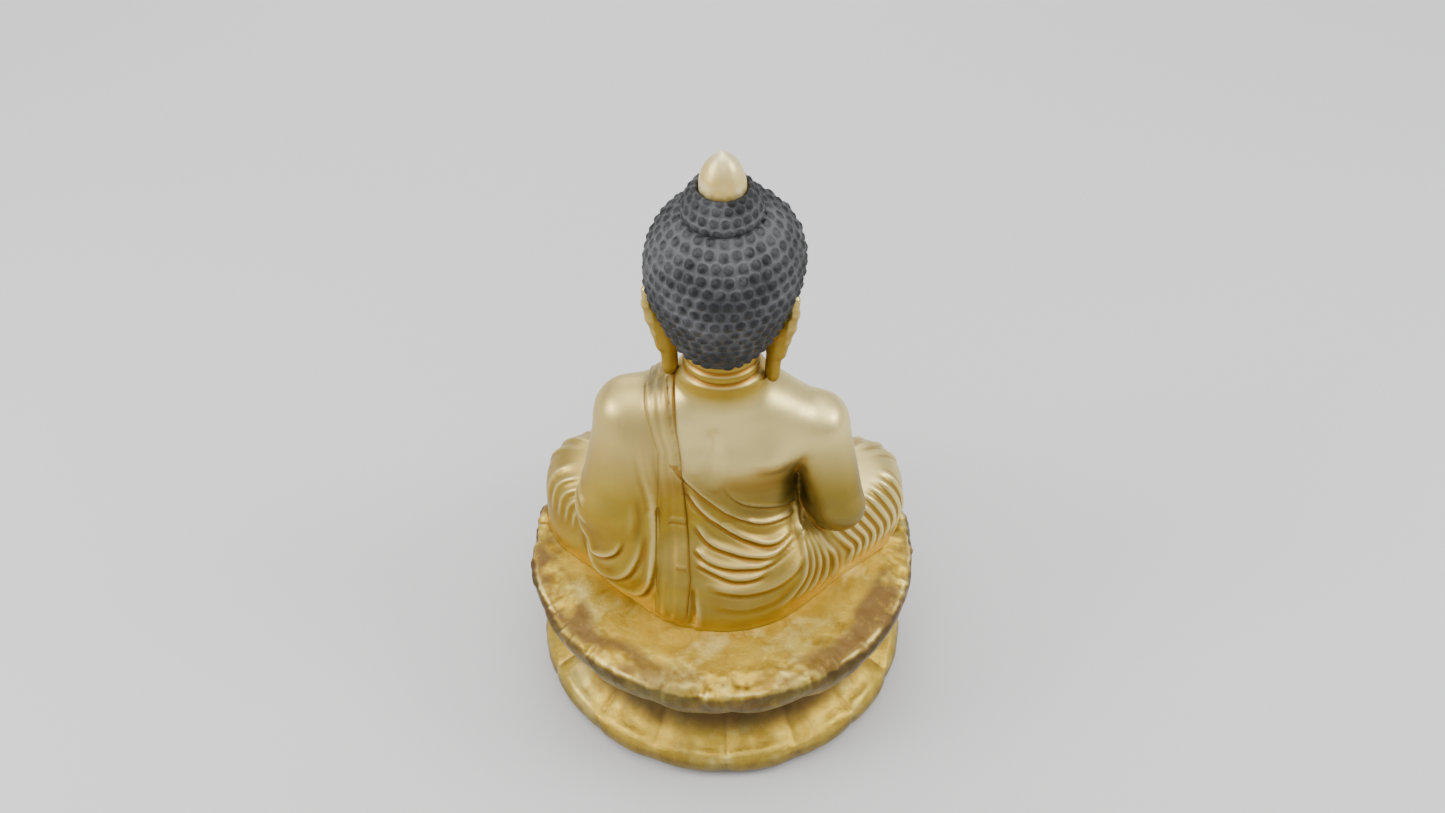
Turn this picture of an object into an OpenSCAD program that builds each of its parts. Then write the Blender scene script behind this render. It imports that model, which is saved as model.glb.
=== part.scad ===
// Seated buddha statue on a double lotus pedestal: joined blocks, gilded, with painted hair.
// Millimetres, +Z up, origin under the middle of the pedestal. The figure faces -Y,
// so its own right hand is on the -X side.

/* [Pedestal] */
// Radius over the petals of the upper lotus tier
rim_r = 132; // [124:1:140]
// Number of petals round each lotus tier
petals = 16; // [12:2:20]
// Height of the surface that the figure sits on
seat_z = 100; // [96:1:104]
// Radius of the board that closes the upper tier
board_r = 98; // [94:1:100]

/* [Figure] */
// Height of the joint between the torso and the neck
neck_z = 262; // [258:1:266]
// Height of the middle of the skull
skull_z = 341; // [338:1:344]
// Turn of the head about its own axis, towards the figure's right
head_turn = 6; // [0:1:12]
// Radius over the painted hair
hair_r = 46; // [44:0.5:48]
// Thickness of the folded shawl that lies over the left shoulder
shawl_t = 3; // [2:0.5:4]

/* [Finial] */
// Radius of the gilt finial at its widest
finial_r = 13.6; // [12:0.2:15]
// Radius of the peg under the finial
peg_r = 4; // [3:0.5:5]

/* [Joinery] */
// Gap between a peg, plate or screw and its seat
gap = 0.3; // [0.2:0.05:0.4]
// Radius of the wooden pegs that locate the figure on the seat
seat_peg_r = 5; // [4:0.5:6]
// Radius of the tie bolt through the pedestal
bolt_r = 4; // [3:0.5:5]

/* [Hidden] */

// Figure sides: +1 is the figure's left, which the robe covers, and -1 is its bare right.
LEFT = 1;
RIGHT = -1;

// Colours
gold = [0.80, 0.64, 0.30];
pale_gold = [0.88, 0.78, 0.50];
hair_grey = [0.22, 0.23, 0.26];
raw_wood = [0.68, 0.52, 0.34];
iron = [0.30, 0.28, 0.27];
steel = [0.66, 0.67, 0.69];
felt = [0.16, 0.14, 0.13];

hull_fn = 24;
big = 400;

// Pedestal levels, from the floor up
pad_t = 2;
pad_r = 10;
pad_ring_r = 104;
plate_z = 4;
plate_top = 16;
plate_r = 88;
lower_top = 48;
waist_top = 60;
board_t = 9;
board_z = seat_z - board_t;

// Lotus petals: one round lobe for each, cut off flat above and below, as distance out, height, radius
lower_lobe = [rim_r - 32, 20, 31];
upper_lobe = [rim_r - 38, seat_z - 15, 38];
tier_bore_r = 84;

// Tie bolt
washer_r = 9;
washer_t = 1.6;
nut_t = 4;
nut_r = 7.5;
counterbore_top = plate_z + 6.4;
bolt_head_r = 7;
bolt_head_t = 4;
screw_count = 6;
screw_ring_r = 81;
screw_r = 1.75;
screw_top = 27;

// Planes that the figure's blocks are cut at
side_x = 52;         // torso to arms and hips
seam_y = 3;          // front blocks to back blocks, and the same in the head
lap_z = 150;         // top of the leg and hip blocks
elbow_y = 6;         // upper arm to forearm

// Arms: centre and radius at the shoulder, elbow and wrist, for the bare right arm and the sleeved left
shoulder_r = [0, 21, 22];
elbow_r = [0, 16.5, 19];
wrist_r = [0, 10, 12];
function arm_index(side) = side == RIGHT ? 1 : 2;
function shoulder_at(side) = side == RIGHT ? [-60, 2, 217] : [57, 2, 227];
function elbow_at(side) = side == RIGHT ? [-75, 22, 158] : [74, 20, 160];
function wrist_at(side) = [side * 31, -46, 148];

// Neck, skull and hair
neck_at = [0, seam_y, 0];
neck_r = 23.5;
skull_r = 41;
jaw_z = 288;
crown_z = skull_z + 38;
bun_r = 24.2;
bun_top = crown_z + 20;
dish_depth = 3;
finial_z = bun_top - dish_depth + 0.1;
finial_h = 23.4 + 0.5;
spigot_r = 8;
spigot_len = 12;
peg_len = 22;
neck_dowel_r = 6;

// ---------- helpers ----------

module ell(at, r, g = 0) {
    translate(at) scale([r[0] + g, r[1] + g, r[2] + g]) sphere(r = 1, $fn = hull_fn);
}

module ball(at, r, g = 0) {
    translate(at) sphere(r = r + g, $fn = hull_fn);
}

module limb(a, ra, b, rb, g = 0) {
    hull() {
        ball(a, ra, g);
        ball(b, rb, g);
    }
}

module slab(lo, hi) {
    translate(lo) cube(hi - lo);
}

module ring_of(count, radius, start = 0) {
    for (i = [0 : count - 1]) rotate(start + i * 360 / count) translate([radius, 0, 0]) children();
}

module dowel(at, r, length, turn) {
    translate(at) rotate(turn) cylinder(r = r, h = length, center = true, $fn = 32);
}

// ---------- pedestal ----------

module foot_pads() {
    color(felt) ring_of(4, pad_ring_r, 45) cylinder(r = pad_r, h = pad_t, $fn = 48);
}

module base_plate() {
    color(raw_wood) difference() {
        translate([0, 0, plate_z]) cylinder(r = plate_r, h = plate_top - plate_z, $fn = 96);
        translate([0, 0, plate_z - 1]) cylinder(r = bolt_r + gap, h = plate_top, $fn = 32);
        translate([0, 0, plate_z - 1])
            cylinder(r = washer_r + 4, h = counterbore_top - plate_z + 1, $fn = 48);
        ring_of(screw_count, screw_ring_r) {
            translate([0, 0, plate_z - 1]) cylinder(r = screw_r + gap / 2, h = plate_top, $fn = 24);
            translate([0, 0, plate_z - 0.01])
                cylinder(r1 = screw_r * 2 + gap, r2 = screw_r + gap / 2, h = screw_r + gap, $fn = 24);
        }
    }
}

module base_screws() {
    color(steel) ring_of(screw_count, screw_ring_r) translate([0, 0, plate_z + 0.1]) union() {
        cylinder(r1 = screw_r * 2, r2 = screw_r, h = screw_r, $fn = 24);
        cylinder(r = screw_r, h = screw_top - plate_z - 1, $fn = 24);
    }
}

module petal_lobes(lobe) {
    ring_of(petals, lobe[0]) translate([0, 0, lobe[1]]) sphere(r = lobe[2], $fn = 48);
}

module lower_lotus() {
    color(gold) difference() {
        union() {
            rotate_extrude($fn = 96) polygon([
                [tier_bore_r - 10, pad_t], [rim_r - 12, pad_t], [rim_r - 9, 10], [rim_r - 9, 22],
                [tier_bore_r + 12, lower_top], [tier_bore_r - 10, lower_top]
            ]);
            intersection() {
                petal_lobes(lower_lobe);
                translate([0, 0, pad_t + 3]) cylinder(r = big, h = lower_top - pad_t - 4, $fn = 96);
            }
        }
        translate([0, 0, pad_t - 1])
            cylinder(r = plate_r + gap, h = plate_top + gap - pad_t + 1, $fn = 96);
        ring_of(screw_count, screw_ring_r)
            translate([0, 0, plate_top]) cylinder(r = screw_r + gap / 2, h = screw_top - plate_top, $fn = 24);
    }
}

module waist_ring() {
    color(gold) rotate_extrude($fn = 96) difference() {
        translate([tier_bore_r - 6, lower_top]) square([18, waist_top - lower_top]);
        translate([tier_bore_r + 15, (lower_top + waist_top) / 2]) circle(r = 6, $fn = 32);
    }
}

module upper_lotus() {
    color(gold) difference() {
        union() {
            rotate_extrude($fn = 96) polygon([
                [tier_bore_r, waist_top], [rim_r - 26, waist_top], [rim_r - 9, waist_top + 16],
                [rim_r - 6, seat_z - 8], [rim_r - 10, seat_z], [tier_bore_r, seat_z]
            ]);
            intersection() {
                petal_lobes(upper_lobe);
                translate([0, 0, waist_top + 1]) cylinder(r = big, h = seat_z - waist_top - 1, $fn = 96);
            }
        }
        translate([0, 0, waist_top - 1]) cylinder(r = tier_bore_r, h = board_z - waist_top + 2, $fn = 96);
        translate([0, 0, board_z]) cylinder(r = board_r + gap, h = board_t + 1, $fn = 96);
    }
}

module seat_board() {
    color(gold) difference() {
        translate([0, 0, board_z]) cylinder(r = board_r, h = board_t, $fn = 96);
        translate([0, 0, board_z - 1]) cylinder(r = bolt_r + gap, h = board_t + 2, $fn = 32);
        translate([0, 0, seat_z - bolt_head_t - 1]) cylinder(r = bolt_head_r + 2, h = 6, $fn = 48);
        for (x = [-1, 1]) translate(peg_at(x)) translate([0, 0, board_z - 1])
            cylinder(r = seat_peg_r + 0.05, h = board_t + 2, $fn = 32);
    }
}

function peg_at(x) = [x * 22, 14, 0];

module seat_pegs() {
    color(raw_wood) for (x = [-1, 1]) translate(peg_at(x)) translate([0, 0, board_z])
        cylinder(r = seat_peg_r, h = board_t + 16, $fn = 32);
}

module tie_bolt() {
    color(steel) union() {
        translate([0, 0, plate_z]) cylinder(r = bolt_r, h = seat_z - plate_z - bolt_head_t, $fn = 32);
        translate([0, 0, seat_z - bolt_head_t - 1]) cylinder(r = bolt_head_r, h = bolt_head_t, $fn = 48);
    }
}

module tie_washer() {
    color(steel) translate([0, 0, counterbore_top - washer_t]) difference() {
        cylinder(r = washer_r, h = washer_t, $fn = 48);
        translate([0, 0, -1]) cylinder(r = bolt_r + gap, h = washer_t + 2, $fn = 32);
    }
}

module tie_nut() {
    color(steel) translate([0, 0, counterbore_top - washer_t - nut_t]) difference() {
        cylinder(r = nut_r, h = nut_t, $fn = 6);
        translate([0, 0, -1]) cylinder(r = bolt_r + 0.05, h = nut_t + 2, $fn = 32);
    }
}

// ---------- the figure's outer form, from which its blocks are cut ----------

module torso_form(g = 0) {
    hull() { ell([0, 10, 126], [62, 58, 28], g); ell([0, 5, 166], [45, 35, 28], g); }
    hull() { ell([0, 5, 166], [45, 35, 28], g); ell([0, 2, 208], [55, 36, 30], g); }
    hull() { ell([0, 2, 208], [55, 36, 30], g); ell([0, 2, 236], [46, 24, 18], g); }
    hull() { ell([0, 2, 236], [46, 24, 18], g); ell([0, 3, neck_z], [25, 25, 8], g); }
    hull() { ball(shoulder_at(LEFT), shoulder_r[2], g); ell([0, 2, 232], [34, 24, 18], g); }
    hull() { ball(shoulder_at(RIGHT), shoulder_r[1], g); ell([0, 2, 226], [34, 24, 18], g); }
}

module legs_form(g = 0) {
    for (s = [LEFT, RIGHT]) {
        hull() { ell([s * 30, 20, 124], [36, 38, 24], g); ell([s * 93, -34, knee_z(s)], [30, 32, 26], g); }
        hull() { ell([s * 93, -34, knee_z(s)], [30, 32, 26], g); ell([s * 26, -68, 116], [26, 22, 16], g); }
    }
    hull() for (s = [LEFT, RIGHT]) ell([s * 26, -68, 116], [26, 22, 16], g);
    hem_form(g);
}

// The left knee is the higher one, because that leg carries the other foot
function knee_z(side) = side == LEFT ? 122 : 119;

module hem_form(g = 0) {
    hull() for (s = [LEFT, RIGHT]) {
        for (c = [[0, 62, 14], [58, 44, 12], [100, 4, 13], [109, -34, 13], [70, -72, 16]])
            translate([s * c[0], c[1], seat_z]) cylinder(r = c[2] + g, h = 8 + g, $fn = hull_fn);
    }
}

module upper_arm_form(side, g = 0) {
    i = arm_index(side);
    limb(shoulder_at(side), shoulder_r[i], elbow_at(side), elbow_r[i], g);
}

module forearm_form(side, g = 0) {
    i = arm_index(side);
    limb(elbow_at(side), elbow_r[i], wrist_at(side), wrist_r[i], g);
}

module arms_form(g = 0) {
    for (side = [LEFT, RIGHT]) {
        upper_arm_form(side, g);
        forearm_form(side, g);
    }
}

module body_form(g = 0) {
    torso_form(g);
    legs_form(g);
    for (side = [LEFT, RIGHT]) upper_arm_form(side, g);
}

module hands_form(g = 0) {
    hand_form(LEFT, g);
    hand_form(RIGHT, g);
    foot_form(g);
}

// The hollow inside the torso, which lightens it and keeps it from splitting
module torso_cavity() {
    hull() {
        translate([0, 14, seat_z + 7]) cylinder(r = 28, h = 1, $fn = hull_fn);
        ell([0, 6, 165], [28, 18, 16]);
    }
    hull() { ell([0, 6, 165], [28, 18, 16]); ell([0, 4, 208], [32, 17, 16]); }
}

module joinery_cuts() {
    translate([0, 14, seat_z - 1]) cylinder(r = base_board_r + gap, h = 9 + gap, $fn = 48);
    translate(neck_at) cylinder(r = neck_dowel_r + gap / 3, h = big, $fn = 32);
    shoulder_dowel_set(gap / 3);
    torso_dowel_set(gap / 3);
    hip_dowel_set(gap / 3);
    leg_dowel_set(gap / 3);
    clamp_set(gap / 3);
}

base_board_r = 31;

// ---------- figure blocks ----------

module figure_base_board() {
    color(raw_wood) difference() {
        translate([0, 14, seat_z]) cylinder(r = base_board_r, h = 8, $fn = 64);
        for (x = [-1, 1]) translate(peg_at(x)) translate([0, 0, seat_z - 1])
            cylinder(r = seat_peg_r + gap, h = 10, $fn = 32);
        translate([0, 0, seat_z - 1]) cylinder(r = bolt_head_r + 2, h = 3, $fn = 48);
    }
}

module torso_block(lo, hi) {
    color(gold) union() difference() {
        intersection() {
            body_form();
            slab(lo, hi);
        }
        torso_cavity();
        joinery_cuts();
        for (side = [LEFT, RIGHT]) forearm_form(side, gap);
        hands_form(gap);
    }
}

module torso_front() { torso_block([-side_x, -big, lap_z], [side_x, seam_y, neck_z]); }

module torso_back() { torso_block([-side_x, seam_y, seat_z], [side_x, big, neck_z]); }

module hip_block(side) {
    color(gold) union() difference() {
        intersection() {
            union() { legs_form(); torso_form(); }
            slab([side == LEFT ? side_x : -big, seam_y, seat_z], [side == LEFT ? big : -side_x, big, lap_z]);
        }
        arms_form(gap);
        joinery_cuts();
    }
}

module left_hip() { hip_block(LEFT); }

module right_hip() { hip_block(RIGHT); }

module leg_block() {
    color(gold) union() difference() {
        intersection() {
            union() { legs_form(); torso_form(); }
            slab([-big, -big, seat_z], [big, seam_y, lap_z]);
        }
        torso_cavity();
        arms_form(gap);
        hands_form(gap);
        joinery_cuts();
    }
}

module skirt_hem() {
    color(gold) union() difference() {
        hull() for (c = [[-44, -80], [44, -80], [0, -90]])
            translate([c[0], c[1], seat_z]) cylinder(r = 14, h = 6, $fn = hull_fn);
        legs_form(0.05);
    }
}

module upper_arm(side) {
    color(gold) union() difference() {
        intersection() {
            union() {
                upper_arm_form(side);
                intersection() { torso_form(); slab([-big, -big, 185], [big, big, big]); }
            }
            slab([side == LEFT ? side_x : -big, -big, 0], [side == LEFT ? big : -side_x, big, big]);
        }
        intersection() {
            forearm_form(side, gap);
            slab([-big, -big, 0], [big, elbow_y, big]);
        }
        slab([-big, -big, 0], [big, elbow_y, lap_z + 8]);
        joinery_cuts();
    }
}

module left_upper_arm() { upper_arm(LEFT); }

module right_upper_arm() { upper_arm(RIGHT); }

module forearm(side) {
    color(gold) union() difference() {
        intersection() {
            forearm_form(side);
            slab([-big, wrist_at(side)[1], 0], [big, elbow_y, big]);
        }
        hand_form(side, gap);
        hand_form(-side, gap);
    }
}

module left_forearm() { forearm(LEFT); }

module right_forearm() { forearm(RIGHT); }

// The hands lie palm up in the lap, the right one over the left
function hand_z(side) = side == RIGHT ? 151 : 139;

module hand_form(side, g = 0) {
    z = hand_z(side);
    limb([side * 33, -44, z], 6, [side * 22, -54, z], 6, g);
    hull() {
        ell([side * 22, -54, z], [8, 8, 6], g);
        ell([side * 4, -62, z - 1], [12, 11, 5], g);
    }
    hull() {
        ell([side * 4, -62, z - 1], [12, 11, 5], g);
        ell([-side * 24, -62, z - 1], [6, 9, 4], g);
    }
    limb([side * 20, -52, z + 3], 4, [side * 4, -54, 162], 3.5, g);
}

module left_hand() {
    color(gold) union() difference() {
        hand_form(LEFT);
        hand_form(RIGHT, 0.05);
    }
}

module right_hand() { color(gold) hand_form(RIGHT); }

// The right foot lies sole up on the left thigh
module foot_form(g = 0) {
    hull() {
        ell([50, -52, 139], [10, 10, 8], g);
        ell([80, -34, 142], [14, 10, 7], g);
    }
}

module right_foot() {
    color(gold) difference() {
        foot_form();
        forearm_form(LEFT, gap);
    }
}

// A long cloth folded into a band: down the back, over the left shoulder and down the chest
module shawl() {
    color(pale_gold) union() difference() {
        intersection() {
            body_form(shawl_t);
            slab([22, -big, seat_z + 1], [side_x - 4, big, neck_z - 2]);
            union() {
                slab([-big, seam_y, seat_z], [big, big, neck_z]);
                slab([-big, -big, 190], [big, seam_y, neck_z]);
            }
        }
        body_form(0.05);
        forearm_form(LEFT, 0.1);
        translate(neck_at) cylinder(r = neck_r + 4, h = big, $fn = 48);
    }
}

// ---------- head ----------

module skull_form(g = 0) {
    translate([0, 0, skull_z]) sphere(r = skull_r + g, $fn = 64);
    translate([0, 0, jaw_z]) cylinder(r1 = 26 + g, r2 = 36.2 + g, h = 34, $fn = 64);
}

// Jaw, cheeks and brow as one turned form set forward of the skull, and a plain wedge for the nose
module face_form() {
    translate([0, -12, 0]) rotate_extrude($fn = 64) polygon([
        [0, 289], [13, 289], [23, 295], [28, 306], [31, 322], [30, 344], [22, 360], [0, 366]
    ]);
    translate([0, -43, 321]) rotate([-6, 0, 0]) cylinder(r1 = 5, r2 = 2, h = 25, $fn = 32);
}

module head_form() {
    difference() {
        union() {
            skull_form();
            translate([0, seam_y, neck_z]) cylinder(r = neck_r, h = 40, $fn = 64);
            face_form();
        }
        slab([-60, -60, crown_z], [60, 60, crown_z + 60]);
        translate([0, 0, skull_z - 26]) cylinder(r = 21, h = 46, $fn = 48);
        translate([0, 0, crown_z - spigot_len - 0.2]) cylinder(r = spigot_r + 0.1, h = 40, $fn = 48);
        translate([0, seam_y, neck_z - 1]) cylinder(r = neck_dowel_r + 0.5, h = 31, $fn = 32);
        for (s = [LEFT, RIGHT]) translate([s * 34, 5, 312]) rotate([0, 90, 0])
            cylinder(r = 1.6, h = 14, center = true, $fn = 24);
        urna_axis() translate([0, 0, skull_r - 4.2]) cylinder(r = 1.1, h = 12, $fn = 24);
    }
}

// Straight out of the forehead, a little above the brow
module urna_axis() {
    translate([0, 0, skull_z]) rotate([74, 0, 0]) children();
}

module turned() {
    rotate(-head_turn) children();
}

module head_front() {
    color(gold) turned() intersection() {
        head_form();
        slab([-big, -big, 0], [big, seam_y, big]);
    }
}

module head_back() {
    color(gold) turned() intersection() {
        head_form();
        slab([-big, seam_y, 0], [big, big, big]);
    }
}

module ear(side) {
    color(gold) turned() difference() {
        union() {
            hull() { ell([side * 43, 6, 318], [4.5, 10, 12]); ell([side * 41, 5, 298], [4.5, 7, 10]); }
            hull() { ell([side * 41, 5, 298], [4.5, 7, 10]); ell([side * 36, 5, 268], [4.5, 7, 9]); }
            translate([side * 36, 5, 312]) rotate([0, side * 90, 0]) cylinder(r = 1.5, h = 6, $fn = 24);
        }
        difference() {
            skull_form(0.1);
            translate([side * 30, 5, 312]) rotate([0, side * 90, 0]) cylinder(r = 1.5, h = 20, $fn = 24);
        }
        hair_form(0.2);
    }
}

module left_ear() { ear(LEFT); }

module right_ear() { ear(RIGHT); }

// Everything above and behind the hairline, which rises from the nape to the forehead
module hair_side(g = 0) {
    translate([0, -40, 362]) rotate([43, 0, 0]) translate([-big / 2, -g, -big]) cube([big, big, 2 * big]);
}

module hair_form(g = 0) {
    intersection() {
        union() {
            translate([0, 0, skull_z]) sphere(r = hair_r + g, $fn = 64);
            translate([0, 0, jaw_z - 2]) cylinder(r1 = 30 + g, r2 = 41.4 + g, h = 35, $fn = 64);
        }
        hair_side(g);
    }
}

module hair_cap() {
    color(hair_grey) turned() difference() {
        hair_form();
        skull_form(0.2);
        slab([-60, -60, crown_z], [60, 60, crown_z + 60]);
        translate([0, seam_y, 0]) cylinder(r = neck_r + 0.2, h = 300, $fn = 64);
    }
}

module ushnisha() {
    color(hair_grey) difference() {
        union() {
            rotate_extrude($fn = 64) polygon([
                [0, crown_z], [bun_r, crown_z], [bun_r + 0.4, crown_z + 5], [bun_r - 3, crown_z + 12],
                [finial_r + 2.6, bun_top], [0, bun_top]
            ]);
            translate([0, 0, crown_z - spigot_len]) cylinder(r = spigot_r, h = spigot_len + 1, $fn = 48);
        }
        translate([0, 0, bun_top - dish_depth]) cylinder(r = finial_r + gap, h = big, $fn = 64);
        translate([0, 0, finial_z - peg_len - 1]) cylinder(r = peg_r + 0.05, h = big, $fn = 48);
    }
}

module urna() {
    color(pale_gold) turned() urna_axis() union() {
        translate([0, 0, skull_r - 4]) cylinder(r = 1, h = 4.5, $fn = 24);
        translate([0, 0, skull_r + 0.05]) cylinder(r = 2.4, h = 1.4, $fn = 32);
    }
}

// ---------- finial ----------

// Radius at a depth below the tip: a blunt point that swells to a round shoulder
function finial_radius(d) = finial_r * sin(90 * pow(d / finial_h, 0.7));

module finial() {
    steps = 14;
    color(pale_gold) translate([0, 0, finial_z]) union() {
        rotate_extrude($fn = 64) polygon(concat(
            [[0, 0]],
            [for (i = [0 : steps]) [
                finial_radius(finial_h * (1 - i / steps)),
                finial_h * i / steps
            ]]
        ));
        translate([0, 0, -peg_len]) cylinder(r = peg_r, h = peg_len + 1, $fn = 48);
    }
}

// ---------- dowels and clamps ----------

module neck_dowel() {
    color(raw_wood) translate([0, seam_y, neck_z - 30]) cylinder(r = neck_dowel_r, h = 58, $fn = 32);
}

module shoulder_dowel_set(g = 0) {
    for (s = [LEFT, RIGHT]) dowel([s * side_x, -4, 224], 3.5 + g, 20 + 2 * g, [0, 90, 0]);
}

module torso_dowel_set(g = 0) {
    for (s = [LEFT, RIGHT], z = [176, 232]) dowel([s * 36, seam_y, z], 3 + g, 18 + 2 * g, [90, 0, 0]);
}

module hip_dowel_set(g = 0) {
    for (s = [LEFT, RIGHT]) dowel([s * side_x, 20, 120], 3.5 + g, 20 + 2 * g, [0, 90, 0]);
}

module leg_dowel_set(g = 0) {
    for (s = [LEFT, RIGHT], x = [40, 72]) dowel([s * x, seam_y, 120], 3.5 + g, 20 + 2 * g, [90, 0, 0]);
}

// Iron staples let into the underside, across the seam of the torso
module clamp_set(g = 0) {
    for (s = [LEFT, RIGHT]) translate([s * 42, seam_y, seat_z + 0.2]) {
        slab([-2 - g, -12 - g, -1 * sign(g)], [2 + g, 12 + g, 2 + g]);
        for (y = [-11, 11]) slab([-1 - g, y - 1 - g, 0], [1 + g, y + 1 + g, 11 + g]);
    }
}

module shoulder_dowels() { color(raw_wood) shoulder_dowel_set(); }

module torso_dowels() { color(raw_wood) torso_dowel_set(); }

module hip_dowels() { color(raw_wood) hip_dowel_set(); }

module leg_dowels() { color(raw_wood) leg_dowel_set(); }

module torso_clamps() { color(iron) clamp_set(); }

// ---------- output ----------

foot_pads();
base_plate();
base_screws();
lower_lotus();
waist_ring();
upper_lotus();
seat_board();
seat_pegs();
tie_bolt();
tie_washer();
tie_nut();
figure_base_board();
torso_front();
torso_back();
left_hip();
right_hip();
leg_block();
skirt_hem();
left_upper_arm();
right_upper_arm();
left_forearm();
right_forearm();
left_hand();
right_hand();
right_foot();
shawl();
head_front();
head_back();
left_ear();
right_ear();
hair_cap();
ushnisha();
urna();
neck_dowel();
shoulder_dowels();
torso_dowels();
hip_dowels();
leg_dowels();
torso_clamps();
finial();
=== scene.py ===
"""The looks of a seated, gilded buddha on a double lotus pedestal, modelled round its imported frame.

Shapes are worked out in millimetres in the frame's own axes (+Z up, the figure faces -Y, its left is
+X) and turned into metres when a mesh is made.
"""

import json
import math

import bmesh
import bpy
import numpy as np
import openvdb
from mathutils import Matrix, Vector
from mathutils.bvhtree import BVHTree


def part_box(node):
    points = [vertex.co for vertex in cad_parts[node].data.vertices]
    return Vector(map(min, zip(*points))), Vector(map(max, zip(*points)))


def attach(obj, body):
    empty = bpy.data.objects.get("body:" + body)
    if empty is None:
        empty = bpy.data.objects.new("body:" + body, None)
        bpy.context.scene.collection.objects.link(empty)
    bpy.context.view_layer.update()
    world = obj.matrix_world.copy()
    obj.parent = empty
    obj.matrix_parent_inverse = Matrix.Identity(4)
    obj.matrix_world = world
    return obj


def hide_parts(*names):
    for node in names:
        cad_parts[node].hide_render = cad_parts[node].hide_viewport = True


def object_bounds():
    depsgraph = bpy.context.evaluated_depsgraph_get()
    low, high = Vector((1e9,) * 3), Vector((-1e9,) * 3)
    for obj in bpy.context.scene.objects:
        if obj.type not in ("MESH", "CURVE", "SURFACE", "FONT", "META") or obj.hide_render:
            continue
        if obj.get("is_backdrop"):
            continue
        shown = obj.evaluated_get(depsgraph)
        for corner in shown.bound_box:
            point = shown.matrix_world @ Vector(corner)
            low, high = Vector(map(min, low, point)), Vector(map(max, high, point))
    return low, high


MM = 0.001
LEFT, RIGHT = 1, -1
SIDES = ((LEFT, "left"), (RIGHT, "right"))

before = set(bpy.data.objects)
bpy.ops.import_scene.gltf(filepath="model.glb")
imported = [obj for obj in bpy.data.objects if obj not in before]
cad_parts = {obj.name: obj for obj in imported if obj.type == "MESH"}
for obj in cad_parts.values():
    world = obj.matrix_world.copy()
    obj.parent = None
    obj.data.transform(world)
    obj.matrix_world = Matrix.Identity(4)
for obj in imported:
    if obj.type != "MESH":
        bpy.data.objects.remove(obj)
cad_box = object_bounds()

# Places that the CAD fixes, in millimetres
SEAT_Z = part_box("figure_base_board")[0][2] / MM
NECK_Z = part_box("torso_back")[1][2] / MM
CROWN_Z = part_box("hair_cap")[1][2] / MM
FINIAL_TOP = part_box("finial")[1][2] / MM
RIM_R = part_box("upper_lotus")[1][0] / MM
LOWER_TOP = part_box("lower_lotus")[1][2] / MM
WAIST_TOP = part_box("waist_ring")[1][2] / MM
SIDE_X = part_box("torso_back")[1][0] / MM
SEAM_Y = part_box("torso_back")[0][1] / MM
LAP_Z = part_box("torso_front")[0][2] / MM

# Clearance of the carved figure over its seat
FLOAT = 0.2

# The head's turn to the figure's right, the middle of the skull, and the petals round each tier
HEAD_TURN = math.radians(-6)
SKULL = (0, 0, 341)
PETALS = 16


# ---------------------------------------------------------------- camera, light and floor


def make_camera():
    data = bpy.data.cameras.new("camera")
    camera = bpy.data.objects.new("camera", data)
    bpy.context.scene.collection.objects.link(camera)
    aim = Vector((0, 0, 0.227))
    away = Vector((0, math.cos(math.radians(45)), math.sin(math.radians(45))))
    camera.location = aim + away * 0.95
    camera.rotation_euler = away.to_track_quat("Z", "Y").to_euler()
    data.lens = 37.8
    data.sensor_width = 36
    bpy.context.scene.camera = camera


def area_light(name, place, size, power):
    data = bpy.data.lights.new(name, "AREA")
    data.shape = "RECTANGLE"
    data.size, data.size_y = size
    data.energy = power
    light = bpy.data.objects.new(name, data)
    bpy.context.scene.collection.objects.link(light)
    light.location = place
    light.rotation_euler = (Vector(place) - Vector((0, 0, 0.2))).to_track_quat("Z", "Y").to_euler()


def make_studio():
    """A soft box of light overhead that falls away to the sides, over a plain pale floor."""
    world = bpy.data.worlds.new("studio")
    bpy.context.scene.world = world
    world.use_nodes = True
    nodes, links = world.node_tree.nodes, world.node_tree.links
    place = nodes.new("ShaderNodeTexCoord")
    split_axes = nodes.new("ShaderNodeSeparateXYZ")
    links.new(place.outputs["Generated"], split_axes.inputs[0])
    glow = nodes.new("ShaderNodeValToRGB")
    glow.color_ramp.interpolation = "EASE"
    peak = 5
    stops = ((0.0, 0.85), (0.10, 0.42), (0.48, 0.55), (0.80, 1.4), (1.0, 4.4))
    glow.color_ramp.elements.remove(glow.color_ramp.elements[1])
    for i, (height, level) in enumerate(stops):
        stop = glow.color_ramp.elements[0] if i == 0 else glow.color_ramp.elements.new(height)
        stop.position = height
        stop.color = (level / peak, level / peak, level / peak, 1)
    links.new(split_axes.outputs["Z"], glow.inputs["Fac"])
    links.new(glow.outputs["Color"], nodes["Background"].inputs["Color"])
    nodes["Background"].inputs["Strength"].default_value = peak
    area_light("left", (1.15, 0.35, 0.85), (0.6, 0.6), 13)
    area_light("right", (-1.15, 0.2, 1.0), (0.6, 0.6), 11)
    area_light("front", (0.2, -1.3, 0.9), (0.9, 0.7), 5)

    bpy.ops.mesh.primitive_plane_add(size=30, location=(0, 0, 0))
    floor = bpy.context.object
    floor.name = "floor"
    floor.data.materials.append(plain_material("floor_paper", (0.56, 0.56, 0.56), 0.9))
    floor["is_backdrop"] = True


# ---------------------------------------------------------------- node materials


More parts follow.
